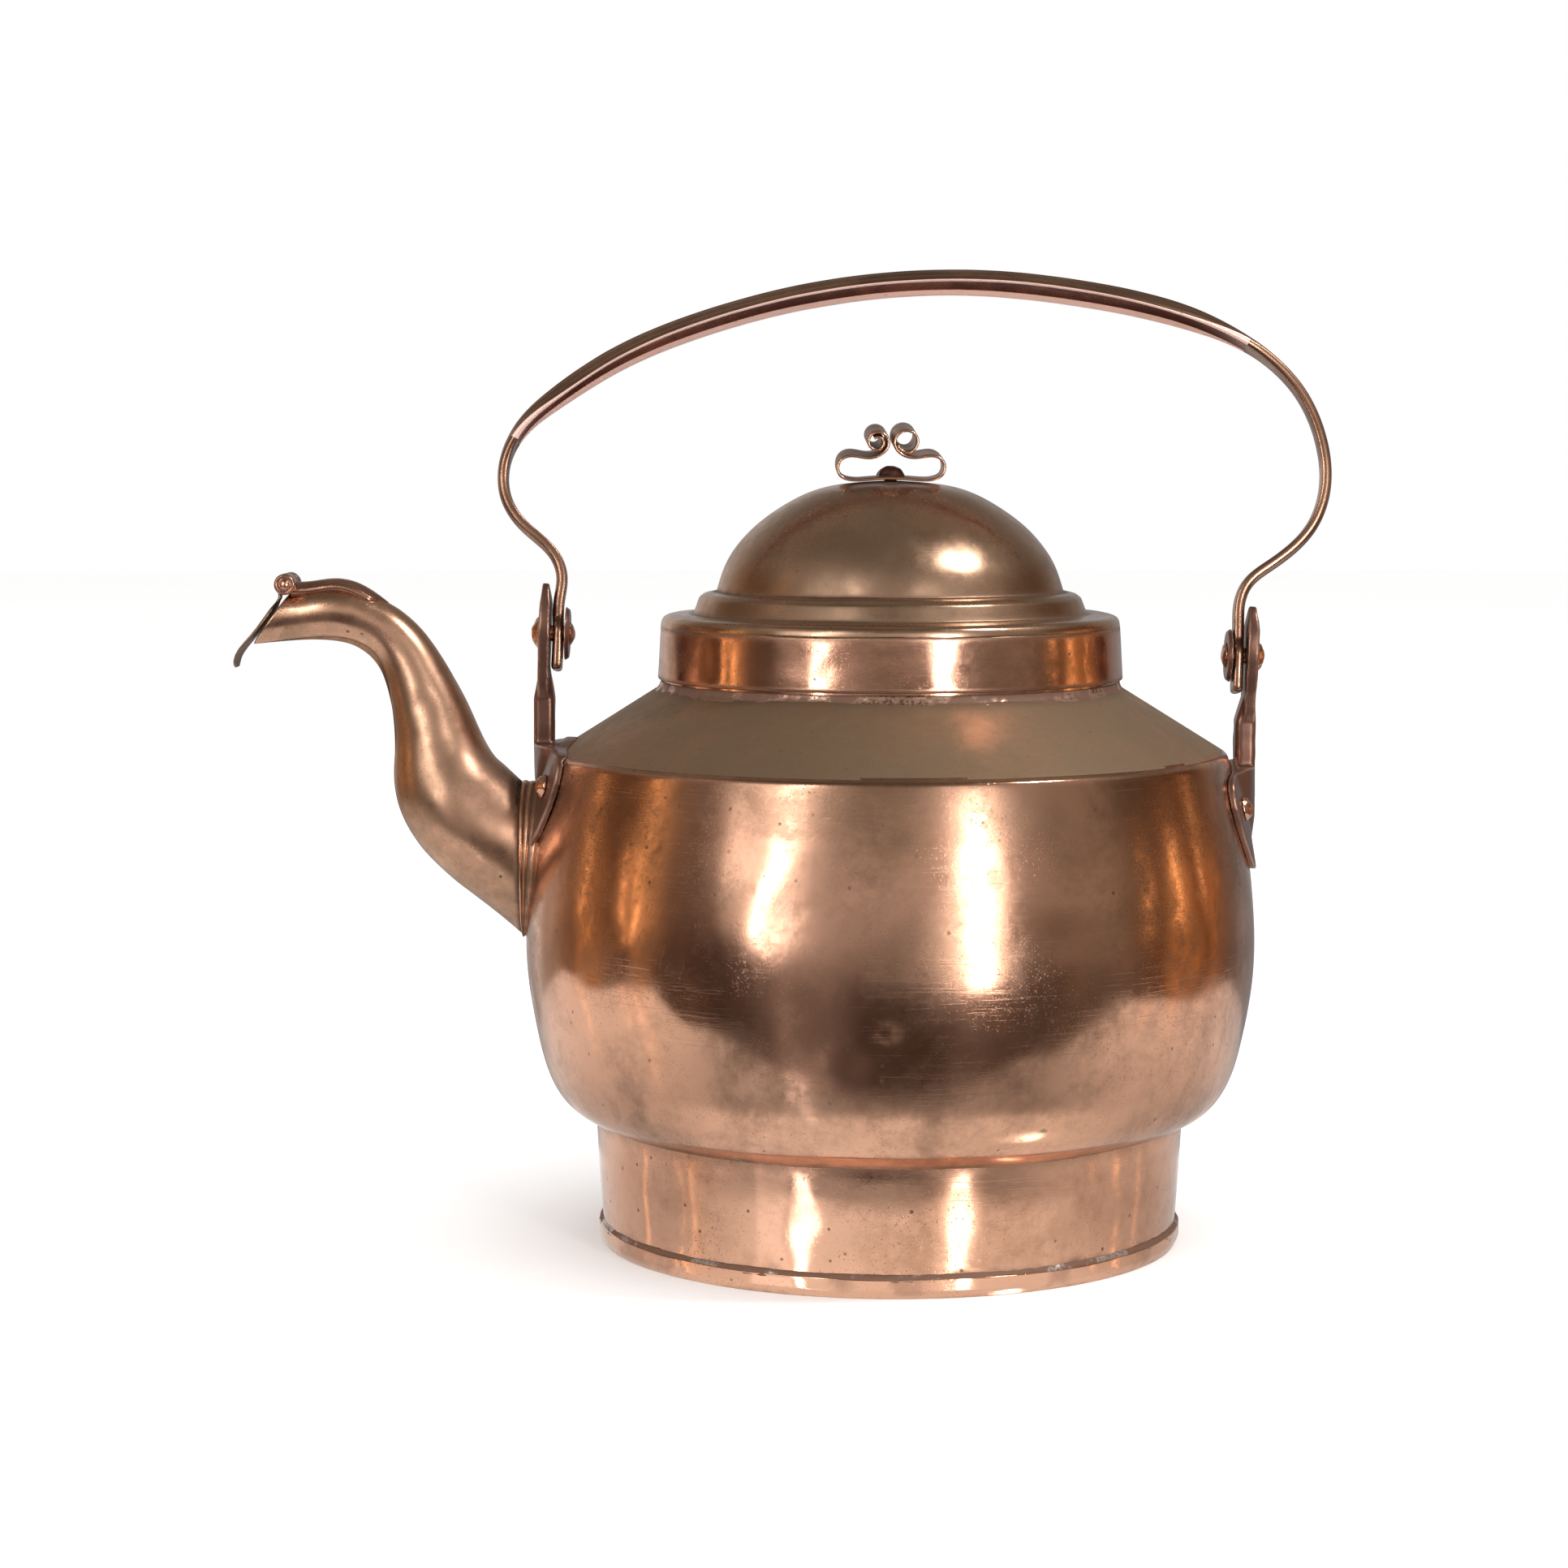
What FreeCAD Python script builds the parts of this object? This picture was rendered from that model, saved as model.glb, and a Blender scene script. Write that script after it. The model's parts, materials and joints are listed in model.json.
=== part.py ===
"""A copper stovetop kettle: gooseneck spout with a hinged flap, swing handle and lift-off lid.

Frame: origin at the centre of the base on the stove, +Z up, spout towards -X.
Millimetres and degrees.
"""
import math
import os

import FreeCAD
import Part

V = FreeCAD.Vector
AXIS_X = V(1, 0, 0)
AXIS_Y = V(0, 1, 0)
AXIS_Z = V(0, 0, 1)

# ---------------------------------------------------------------- driving dimensions

SHEET = 1.1                 # copper sheet of the barrel, base and spout
LID_SHEET = 0.9             # thinner copper sheet of the lid and the neck
SEAT_GAP = 0.02             # rivet shank to its hole, on one body
RUN_GAP = 0.06              # pin to its bore, where one turns in the other
FREE_GAP = 0.4              # between bodies that pass each other
PIVOT_PLAY = 0.5            # each side of the handle's leg, at its pivot
SEAM_GAP = 0.05             # between soldered sheets
PASS = 20.0                 # how far a drill or cutter runs past the metal it cuts
BEYOND = 200.0              # further out than any part of the kettle

# Base
BASE_R = 100.0              # outside of the bottom plate's rim
BASE_RIM_H = 6.4
BASE_TOP_Z = 44.2           # top edge of the base ring, inside the barrel
BASE_FLARE_Z = (9.0, 27.0)  # the ring widens by its own thickness between these heights
BASE_SOLDER_H = 1.6
NECK_SOLDER_W = 2.4
NECK_SOLDER_H = 1.8

# Barrel outline, (radius, height), from the base ring up to the shoulder's edge
BARREL_HOLE_R = 101.0
BARREL_OUTLINE = [
    (BARREL_HOLE_R, 42.6),
    (106.4, 44.9),
    (111.8, 48.9),
    (116.6, 56.2),
    (120.9, 71.0),
    (123.8, 88.0),
    (124.8, 104.0),
    (123.9, 120.0),
    (121.5, 138.5),
    (115.1, 167.4),
]
SHOULDER_R, SHOULDER_Z = BARREL_OUTLINE[-1]
SHOULDER_TOP_Z = 190.6

# Neck and lid
NECK_R = 77.95              # outside of the neck where it enters the shoulder
NECK_TOP_R = 76.2
NECK_BOTTOM_Z = 188.0
NECK_TOP_Z = 213.0
SKIRT_R = 79.3              # outside of the lid's skirt at its lower edge
SKIRT_TOP_R = 78.3
SKIRT_Z = 193.3
SKIRT_TOP_Z = 210.6
FLANGE_Z = 214.6            # top of the lid's flat flange
STEP_R = 66.8               # foot of the lid's raised step
STEP_Z = 221.9
DOME_R = 59.2
DOME_TOP_Z = 260.0
DOME_OUTLINE = [(DOME_R, 222.6), (56.2, 231.3), (49.4, 241.2), (37.4, 251.0), (22.8, 257.65),
                (12.0, 259.35), (0.0, DOME_TOP_Z)]

# Knob: a scrolled strip of copper, riveted to the dome
KNOB_STRIP_T = 1.0
KNOB_STRIP_W = 18.0
KNOB_LOOP_X = 14.2          # centre of each lower lobe
KNOB_LOOP_R = 3.9
KNOB_SCROLL_R = 3.6
KNOB_SCROLL_X = 4.9         # centre of each scroll, either side of the knob's middle
KNOB_SCROLL_Z = DOME_TOP_Z + 13.0
SCROLL_START = -60          # degrees, at the scroll's lower inner side
SCROLL_SWEEP = 450
SCROLL_TIGHTENING = 0.52    # share of its radius that a scroll loses on its way in
KNOB_RIVET_R = 2.0
KNOB_RIVET_HEAD_R = 5.2
KNOB_RIVET_HEAD_H = 3.8

# Spout: centre line in the XZ plane with its outside radius
SPOUT_LINE = [
    (-104.0, 112.0, 20.2),
    (-128.3, 132.5, 20.2),
    (-142.2, 144.3, 20.4),
    (-151.1, 156.9, 18.9),
    (-155.3, 173.8, 14.4),
    (-159.0, 186.4, 12.1),
    (-162.6, 195.8, 10.4),
    (-170.7, 207.8, 8.8),
    (-178.9, 212.7, 8.6),
    (-189.2, 215.4, 9.0),
    (-201.0, 214.4, 8.3),
    (-218.0, 212.4, 8.2),
]
MOUTH_TOP = (-204.6, 221.6)
MOUTH_LIP = (-217.6, 203.9)
COLLAR_X = -126.0           # where the spout's tube is cut square and meets its collar
COLLAR_Z = 130.5
COLLAR_RZ = 26.6
COLLAR_RY = 21.0
COLLAR_BEAD_W = 2.6
SLEEVE_END_X = -95.0        # inside the barrel, before the sleeve is cut to its wall
COLLAR_BEAD_H = 0.8

# Flap and its hinge on the spout
HINGE_X = -205.6
HINGE_Z = 225.0
KNUCKLE_R = 3.6
HINGE_PIN_R = 1.2
HINGE_HALF_W = 9.0
FLAP_KNUCKLE_HALF_W = 2.8
FLAP_T = 0.9
FLAP_OUTLINE = [(-208.6, 220.4), (-212.5, 214.3), (-217.9, 207.4), (-221.6, 203.0), (-223.4, 199.6),
                (-223.7, 196.4)]
# (half width, height) of the leaf seen along X, from its knuckle down
FLAP_PLAN = [(2.8, 226.0), (2.8, 219.0), (7.6, 216.6), (9.4, 211.0), (9.3, 204.0), (6.3, 198.0), (2.0, 195.8)]
STRAP_HALF_W = 6.0
STRAP_DEPTH = 6.0           # before the strap is cut to sit on the spout
WEB_TOP_Z = HINGE_Z + 1.0   # the solid root of the two fixed knuckles
WEB_LOW_Z = HINGE_Z - 3.0
WEB_END_X = HINGE_X + 8.0
STRAP_OUTLINE = [(-203.6, 225.6), (-197.0, 226.0), (-189.0, 226.9), (-180.0, 224.6), (-171.6, 218.9)]

# Ears: forged lugs riveted to the barrel, one on the spout's side and one opposite.
# pivot_x and pivot_z place the middle of the handle's leg, stem_x the lug's stem.
EARS = {
    "spout_side": {"side": -1, "pivot_x": -113.4, "pivot_z": 208.0, "stem_x": -118.2},
    "rear": {"side": 1, "pivot_x": 118.9, "pivot_z": 200.3, "stem_x": 121.6},
}
EAR_T = 3.8                 # plate round the pivot
# (half width, height from the pivot) of that plate, down to its tail inside the stem
EAR_EYE_OUTLINE = [(0, 16.8), (6.8, 11), (9, 1), (7.2, -11), (4.8, -22), (0, -26)]
STEM_T = 7.0
STEM_W = 9.5
STEM_BEVEL = 1.2
STEM_TAPER_TOP = -9.0       # from the pivot, where the stem starts to swell out of the plate
STEM_TAPER_END = -22.0      # and where it reaches its full thickness
STEM_FOOT = 2.0             # from the row of rivets
ROOT_R = 38.0               # crown of the thick part of the leaf, under the stem
ROOT_TOP = 13.0             # from the row of rivets
ROOT_SHOULDER = -4.0
ROOT_END = -18.0
RIVET_DROP = 50.4           # pivot to the row of rivets
RIVET_SPREAD = 26.0
LEAF_T = 2.2
LEAF_OUTLINE = [(0, 14), (22, 12.5), (36, 9), (38, 1), (33, -11), (20, -20), (0, -21)]
EAR_RIVET_R = 2.4
EAR_RIVET_HEAD_R = 4.2
EAR_RIVET_HEAD_H = 2.8
ROVE_R = 5.0
ROVE_T = 1.0

# Handle: a flat strap, drawn in its own plane from the spout side's pivot
HANDLE_LEAN = 10.0          # resting lean away from upright, towards +Y
STRAP_T = 4.0
LEG_W = 8.0
GRIP_W = 25.0
EYE_R = 6.4
LEG_TIP = -7.5              # pivot to the centre of the leg's rounded tip
LEG_TIP_R = 5.2
LEG_EDGE_DROP = 1.3         # the outer face's fall from its middle to its edges
GRIP_EDGE_DROP = 5.7
GRIP_CROWN = 1.5            # the grip's middle stands this much above a flat strap's
GRIP_HOLLOW = 3.2           # and its underside this much
LEG_UNDER_RISE = 1.0
GRIP_LIP_DROP = 1.4
LEG_TIP_H = -14.0           # the legs' faces are trimmed flat from here
LEG_FLAT_H = 31.0           # over this height, which clears the ear's plate
LEG_TRIM = 6.0              # depth of the trimming cut
PIVOT_R = 2.9
PIVOT_HEAD_R = 5.6
PIVOT_HEAD_H = 2.8
PIVOT_WASHER_R = 9.2
PIVOT_WASHER_T = 1.5
# (along the pivot axis, up in the handle's plane, strap width)
HANDLE_LINE = [
    (0.0, LEG_TIP, LEG_W),
    (0.0, 2.0, LEG_W),
    (0.0, 11.0, LEG_W),
    (0.6, 19.9, LEG_W),
    (-2.2, 26.8, LEG_W),
    (-12.6, 36.2, LEG_W),
    (-19.5, 46.1, LEG_W),
    (-20.6, 56.5, LEG_W + 1),
    (-15.2, 70.4, 14.0),
    (-3.9, 81.5, 19.0),
    (13.5, 94.1, 23.0),
    (46.0, 109.6, GRIP_W),
    (93.8, 122.8, GRIP_W),
    (133.5, 126.9, GRIP_W),
    (182.3, 123.6, GRIP_W),
    (217.6, 115.4, 18.0),
    (236.4, 106.3, 11.0),
    (251.6, 92.2, LEG_W),
    (259.8, 74.1, LEG_W),
    (261.2, 60.0, LEG_W),
    (256.6, 45.2, LEG_W),
    (242.5, 31.3, LEG_W),
    (235.0, 24.6, LEG_W),
    (232.6, 18.0, LEG_W),
    (232.4, 11.0, LEG_W),
    (232.4, 2.0, LEG_W),
    (232.4, LEG_TIP, LEG_W),
]


# ---------------------------------------------------------------- outlines and sheets


def curve_through(points):
    """A curve in the XZ plane: straight through two points, smooth through more."""
    vectors = [V(x, 0, z) for x, z in points]
    if len(vectors) == 2:
        return Part.LineSegment(vectors[0], vectors[1])
    curve = Part.BSplineCurve()
    curve.interpolate(vectors)
    return curve


def left_normals(points):
    """The unit normal to the left of the run, at each of its points."""
    curve = curve_through(points)
    normals = []
    for x, z in points:
        tangent = curve.tangent(curve.parameter(V(x, 0, z)))[0]
        tangent.normalize()
        normals.append((-tangent.z, tangent.x))
    return normals


def moved_runs(runs, distance):
    """An outline's runs moved to the left by a distance, mitred where two runs meet."""
    normals = [left_normals(run) for run in runs]
    moved = []
    for i, run in enumerate(runs):
        points = []
        for j, (x, z) in enumerate(run):
            n1 = n2 = normals[i][j]
            if j == 0 and i > 0:
                n2 = normals[i - 1][-1]
            if j == len(run) - 1 and i < len(runs) - 1:
                n2 = normals[i + 1][0]
            scale = distance / (1 + n1[0] * n2[0] + n1[1] * n2[1])
            new_x = x + scale * (n1[0] + n2[0]) if x else 0.0
            points.append((new_x, z + scale * (n1[1] + n2[1])))
        moved.append(points)
    return moved


def closed_face(loops):
    """A face bounded by runs laid end to end, with straight edges over the gaps."""
    edges = []
    for i, run in enumerate(loops):
        edges.append(curve_through(run).toShape())
        start = V(run[-1][0], 0, run[-1][1])
        after = loops[(i + 1) % len(loops)][0]
        end = V(after[0], 0, after[1])
        if start.distanceToPoint(end) > 1e-6:
            edges.append(Part.makeLine(start, end))
    return Part.Face(Part.Wire(edges))


def sheet_face(runs, thickness):
    """The section of a bent sheet whose outline is the runs, thickened to the left."""
    inner = moved_runs(runs, thickness)
    back = [list(reversed(run)) for run in reversed(inner)]
    return closed_face(runs + back)


def spin(face):
    """A solid of revolution about the kettle's axis."""
    return face.revolve(V(0, 0, 0), AXIS_Z, 360)


def ring(points):
    """A ring of revolution with a straight-sided section."""
    runs = [[points[i], points[(i + 1) % len(points)]] for i in range(len(points))]
    return spin(closed_face(runs))


def extruded_y(face, half_width):
    """A face in the XZ plane, thickened both ways along Y."""
    solid = face.extrude(V(0, 2 * half_width, 0))
    solid.translate(V(0, -half_width, 0))
    return solid


def smooth_loop(points):
    """A closed smooth wire through 3-D points."""
    curve = Part.BSplineCurve()
    curve.interpolate(points, PeriodicFlag=True)
    return Part.Wire(curve.toShape())


def oval_prism(x1, x2, z, rz, ry):
    """A solid oval bar along X."""
    count = 12
    points = []
    for i in range(count):
        angle = 2 * math.pi * i / count
        points.append(V(x1, ry * math.cos(angle), z + rz * math.sin(angle)))
    return Part.Face(smooth_loop(points)).extrude(V(x2 - x1, 0, 0))


def pin(start, direction, radius, length):
    """A round bar."""
    return Part.makeCylinder(radius, length, start, direction)


def dome_head(base, direction, radius, height):
    """A rivet's rounded head: a slice of a ball standing on its flat."""
    ball_r = (radius ** 2 + height ** 2) / (2 * height)
    direction = V(direction).normalize()
    ball = Part.makeSphere(ball_r, base + direction * (height - ball_r))
    block = Part.makeCylinder(radius + 1, height + 1, base, direction)
    return ball.common(block)


def joined(shapes):
    """Several overlapping shapes as one clean solid."""
    first = shapes[0]
    return first.fuse(shapes[1:]).removeSplitter()


# ---------------------------------------------------------------- body


def barrel_runs():
    """The barrel's and the shoulder's outside, from the bottom up."""
    return [BARREL_OUTLINE, [(SHOULDER_R, SHOULDER_Z), (NECK_R + SEAM_GAP, SHOULDER_TOP_Z)]]


def barrel_block(swell):
    """The barrel as a full solid, its outside moved outwards by the swell."""
    runs = moved_runs(barrel_runs(), -swell) if swell else barrel_runs()
    bottom = runs[0][0]
    top = runs[-1][-1]
    return spin(closed_face(runs + [[(0.0, top[1]), (0.0, bottom[1])]]))


def make_barrel_shell(rivets):
    """The bulged barrel and its conical shoulder, open to the spout."""
    shell = spin(sheet_face(barrel_runs(), SHEET))
    port = oval_prism(COLLAR_X - PASS, SLEEVE_END_X, COLLAR_Z, COLLAR_RZ - SHEET, COLLAR_RY - SHEET)
    base_hole = pin(V(0, 0, BARREL_OUTLINE[0][1] - SHEET), AXIS_Z, BARREL_HOLE_R, 3 * SHEET)
    neck_hole = pin(V(0, 0, SHOULDER_TOP_Z - PASS / 4), AXIS_Z, NECK_R + SEAM_GAP, PASS / 2)
    return shell.cut([port, base_hole, neck_hole] + rivets)


def make_base_ring():
    """The slightly flared cylinder that drops into the stove's opening."""
    low, high = BASE_FLARE_Z
    inner_r = BASE_R - SHEET
    outline = [(inner_r, SHEET), (inner_r, low), (BASE_R, high), (BARREL_HOLE_R - SEAM_GAP, BASE_TOP_Z)]
    runs = [outline[0:2], outline[1:3], outline[2:4]]
    return spin(sheet_face(runs, SHEET))


def make_bottom_plate():
    """The flat bottom with its rim turned up outside the base ring."""
    inside = BASE_R - SHEET + SEAT_GAP
    return ring([
        (0, 0), (BASE_R - 0.8, 0), (BASE_R, 0.8), (BASE_R + 0.2, 3.4), (BASE_R, BASE_RIM_H),
        (inside, BASE_RIM_H), (inside, SHEET), (0, SHEET),
    ])


def make_base_solder():
    """The bead of solder along the top of the bottom plate's rim."""
    inside = BASE_R - SHEET + SEAT_GAP
    top = BASE_RIM_H + BASE_SOLDER_H
    return ring([(inside, BASE_RIM_H), (BASE_R - 0.2, BASE_RIM_H), (inside + 0.1, top)])


def make_neck_collar():
    """The upright neck that the lid's skirt slides over."""
    runs = [
        [(NECK_R, NECK_BOTTOM_Z), (NECK_R, SKIRT_Z - 1)],
        [(NECK_R, SKIRT_Z - 1), (NECK_TOP_R, NECK_TOP_Z)],
    ]
    return spin(sheet_face(runs, LID_SHEET))


def make_neck_solder():
    """The fillet of solder between the neck and the shoulder."""
    edge = NECK_R + SEAM_GAP
    slope = (SHOULDER_TOP_Z - SHOULDER_Z) / (SHOULDER_R - edge)
    foot = (edge + NECK_SOLDER_W, SHOULDER_TOP_Z - NECK_SOLDER_W * slope)
    return ring([(edge, SHOULDER_TOP_Z), foot, (edge, SHOULDER_TOP_Z + NECK_SOLDER_H)])


# ---------------------------------------------------------------- spout and flap


def spout_loft(inset):
    """The spout's curved, tapering solid, its surface moved inwards by the inset."""
    centres = [V(x, 0, z) for x, z, _ in SPOUT_LINE]
    line = Part.BSplineCurve()
    line.interpolate(centres)
    count = 12
    sections = []
    for centre, (_, _, radius) in zip(centres, SPOUT_LINE):
        tangent = line.tangent(line.parameter(centre))[0]
        up = tangent.cross(AXIS_Y).normalize()
        points = []
        for i in range(count):
            angle = 2 * math.pi * i / count
            r = radius - inset
            points.append(centre + AXIS_Y * (r * math.cos(angle)) + up * (r * math.sin(angle)))
        sections.append(smooth_loop(points))
    return Part.makeLoft(sections, True, False)


def beyond_mouth():
    """A block that lies outside the plane of the spout's mouth."""
    dx = MOUTH_LIP[0] - MOUTH_TOP[0]
    dz = MOUTH_LIP[1] - MOUTH_TOP[1]
    length = math.hypot(dx, dz)
    along = (dx / length, dz / length)
    out = (along[1], -along[0])
    a = (MOUTH_TOP[0] - PASS * along[0], MOUTH_TOP[1] - PASS * along[1])
    b = (MOUTH_LIP[0] + PASS * along[0], MOUTH_LIP[1] + PASS * along[1])
    c = (b[0] + 2 * PASS * out[0], b[1] + 2 * PASS * out[1])
    d = (a[0] + 2 * PASS * out[0], a[1] + 2 * PASS * out[1])
    return extruded_y(closed_face([[a, b], [b, c], [c, d], [d, a]]), PASS)


def make_spout_tube():
    """The gooseneck, cut square at its collar and slanting at its mouth."""
    tube = spout_loft(0).cut(spout_loft(SHEET))
    root = Part.makeBox(BEYOND, BEYOND, BEYOND, V(COLLAR_X, -BEYOND / 2, COLLAR_Z - BEYOND / 2))
    return tube.cut(root).cut(beyond_mouth()).cut(knuckle_slot())


def make_spout_collar():
    """The oval sleeve that carries the spout off the barrel."""
    sleeve = oval_prism(COLLAR_X, SLEEVE_END_X, COLLAR_Z, COLLAR_RZ, COLLAR_RY)
    bead_end = COLLAR_X + COLLAR_BEAD_W
    bead = oval_prism(COLLAR_X, bead_end, COLLAR_Z, COLLAR_RZ + COLLAR_BEAD_H, COLLAR_RY + COLLAR_BEAD_H)
    bore = oval_prism(COLLAR_X - PASS, SLEEVE_END_X + PASS, COLLAR_Z, COLLAR_RZ - SHEET, COLLAR_RY - SHEET)
    return joined([sleeve, bead]).cut(bore).cut(barrel_block(0))


def knuckle(y1, y2):
    """One rolled knuckle of the flap's hinge, before its bore is cut."""
    return pin(V(HINGE_X, y1, HINGE_Z), AXIS_Y, KNUCKLE_R, y2 - y1)


def knuckle_slot():
    """The room that the flap's own knuckle turns in."""
    half_w = FLAP_KNUCKLE_HALF_W + FREE_GAP
    return pin(V(HINGE_X, -half_w, HINGE_Z), AXIS_Y, KNUCKLE_R + FREE_GAP, 2 * half_w)


def hinge_bore(gap):
    """The hole for the hinge pin, right through."""
    return pin(V(HINGE_X, -HINGE_HALF_W - 2, HINGE_Z), AXIS_Y, HINGE_PIN_R + gap, 2 * HINGE_HALF_W + 4)


def make_hinge_strap():
    """The strap along the top of the spout, rolled into two knuckles at its front."""
    lower = [(x, z - STRAP_DEPTH) for x, z in reversed(STRAP_OUTLINE)]
    strap = extruded_y(closed_face([STRAP_OUTLINE, lower]), STRAP_HALF_W)
    inner_end = FLAP_KNUCKLE_HALF_W + FREE_GAP
    ends = [knuckle(-HINGE_HALF_W, -inner_end), knuckle(inner_end, HINGE_HALF_W)]
    corners = [(HINGE_X, WEB_TOP_Z), (WEB_END_X, WEB_TOP_Z), (WEB_END_X, WEB_LOW_Z), (HINGE_X, WEB_LOW_Z)]
    web_runs = [[corners[i - 1], corners[i]] for i in range(4)]
    web = extruded_y(closed_face(web_runs), STRAP_HALF_W)
    return joined([strap, web] + ends).cut([knuckle_slot(), hinge_bore(SEAT_GAP), spout_loft(0)])


def make_hinge_pin():
    """The wire that the flap turns on, with its two ends upset."""
    wire = pin(V(HINGE_X, -HINGE_HALF_W, HINGE_Z), AXIS_Y, HINGE_PIN_R, 2 * HINGE_HALF_W)
    heads = []
    for side in (-1, 1):
        base = V(HINGE_X, side * HINGE_HALF_W, HINGE_Z)
        heads.append(dome_head(base, AXIS_Y * side, HINGE_PIN_R + 0.6, 0.8))
    return joined([wire] + heads)


def make_flap():
    """The curved leaf over the spout's mouth, with its own knuckle."""
    root = (HINGE_X - KNUCKLE_R + 0.4, HINGE_Z - 0.5)
    leaf = extruded_y(sheet_face([[root, FLAP_OUTLINE[0]], FLAP_OUTLINE], FLAP_T), PASS)
    near = [V(HINGE_X - 2 * PASS, -y, z) for y, z in FLAP_PLAN]
    far = [V(HINGE_X - 2 * PASS, y, z) for y, z in reversed(FLAP_PLAN)]
    plan = Part.Face(Part.Wire(Part.makePolygon(near + far + near[:1])))
    leaf = leaf.common(plan.extrude(V(3 * PASS, 0, 0)))
    shape = joined([leaf, knuckle(-FLAP_KNUCKLE_HALF_W, FLAP_KNUCKLE_HALF_W)])
    return shape.cut(hinge_bore(RUN_GAP))


# ---------------------------------------------------------------- ears, rivets and handle


def pivot_point(name):
    """The middle of the handle's leg at one ear."""
    ear = EARS[name]
    return V(ear["pivot_x"], 0, ear["pivot_z"])


def pivot_axis():
    """The unit vector from the spout side's pivot to the rear one."""
    return (pivot_point("rear") - pivot_point("spout_side")).normalize()


def leaf_face_loop(z_row):
    """The ear's leaf seen along X, as a closed wire about its row of rivets."""
    right = [V(0, y, z_row + z) for y, z in LEAF_OUTLINE]
    left = [V(0, -y, z_row + z) for y, z in reversed(LEAF_OUTLINE[1:-1])]
    return smooth_loop(right + left)


def wall_at(z):
    """The barrel's outside radius at a height and its outward normal (radial, up)."""
    curve = curve_through(BARREL_OUTLINE)
    level = Part.makeLine(V(0, 0, z), V(BEYOND, 0, z))
    point = curve.toShape().distToShape(level)[1][0][0]
    tangent = curve.tangent(curve.parameter(point))[0].normalize()
    return point.x, (tangent.z, -tangent.x)


def ear_rivet_places(name):
    """Each rivet of an ear: its seat on the barrel's wall and its outward direction."""
    ear = EARS[name]
    z = ear["pivot_z"] - RIVET_DROP
    wall_r, (normal_r, normal_z) = wall_at(z)
    places = []
    for y in (-RIVET_SPREAD, RIVET_SPREAD):
        x = ear["side"] * math.sqrt(wall_r ** 2 - y ** 2)
        outward = V(x / wall_r * normal_r, y / wall_r * normal_r, normal_z)
        places.append((V(x, y, z), outward))
    return places


def make_ear_rivets(name):
    """The two rivets of an ear: domed head outside, shank through, tail inside."""
    rivets = []
    for seat, outward in ear_rivet_places(name):
        under_head = seat + outward * LEAF_T
        tail = SHEET + ROVE_T + 1.2
        shank = pin(seat - outward * tail, outward, EAR_RIVET_R, tail + LEAF_T + 0.5)
        head = dome_head(under_head, outward, EAR_RIVET_HEAD_R, EAR_RIVET_HEAD_H)
        burr = dome_head(seat - outward * (SHEET + ROVE_T + 0.25), -outward, EAR_RIVET_R + 1.0, 1.2)
        rivets.append(joined([shank, head, burr]))
    return rivets


def make_ear_roves(name):
    """The washers under the rivets' tails, inside the barrel."""
    roves = []
    for seat, outward in ear_rivet_places(name):
        start = seat - outward * (SHEET + ROVE_T + 0.25)
        washer = pin(start, outward, ROVE_R, ROVE_T)
        roves.append(washer.cut(pin(start - outward, outward, EAR_RIVET_R + SEAT_GAP, ROVE_T + 2)))
    return roves


def rivet_holes(name, gap):
    """Straight bars where an ear's rivets pass through."""
    places = ear_rivet_places(name)
    return [pin(seat - outward * PASS, outward, EAR_RIVET_R + gap, 2 * PASS) for seat, outward in places]


def make_ear_eye(name):
    """The flat plate round an ear's pivot, with a tail that runs down into the stem."""
    side = EARS[name]["side"]
    outward = pivot_axis() * side
    right = [V(0, y, z) for y, z in EAR_EYE_OUTLINE]
    left = [V(0, -y, z) for y, z in reversed(EAR_EYE_OUTLINE[1:-1])]
    eye = Part.Face(smooth_loop(right + left)).extrude(AXIS_X * EAR_T)
    if side < 0:
        eye = eye.mirror(V(0, 0, 0), AXIS_X)
    seat = pivot_point(name) + outward * (STRAP_T / 2 + PIVOT_PLAY)
    turn = FreeCAD.Rotation(AXIS_X * side, outward)
    eye.Placement = FreeCAD.Placement(seat, turn).multiply(eye.Placement)
    return eye


def make_ear_stem(name):
    """The bar under the plate: it swells out of the plate and runs down to the leaf."""
    ear = EARS[name]
    plate = abs(ear["pivot_x"]) + STRAP_T / 2 + PIVOT_PLAY
    inner = abs(ear["stem_x"]) - STEM_T / 2
    outer = inner + STEM_T
    top = ear["pivot_z"] + STEM_TAPER_TOP
    full = ear["pivot_z"] + STEM_TAPER_END
    foot = ear["pivot_z"] - RIVET_DROP + STEM_FOOT
    plate_in = plate + STEM_BEVEL / 2
    plate_out = plate + EAR_T - STEM_BEVEL / 2
    side = [(inner, foot), (inner, full), (plate_in, top), (plate_out, top), (outer, full), (outer, foot)]
    outline = Part.makePolygon([V(ear["side"] * x, 0, z) for x, z in side + side[:1]])
    stem = extruded_y(Part.Face(outline), STEM_W / 2)
    long_edges = [edge for edge in stem.Edges if edge.Length > STEM_W]
    upright = [edge for edge in long_edges if abs(edge.tangentAt(edge.FirstParameter).y) < 0.1]
    return stem.makeChamfer(STEM_BEVEL, upright)


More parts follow.
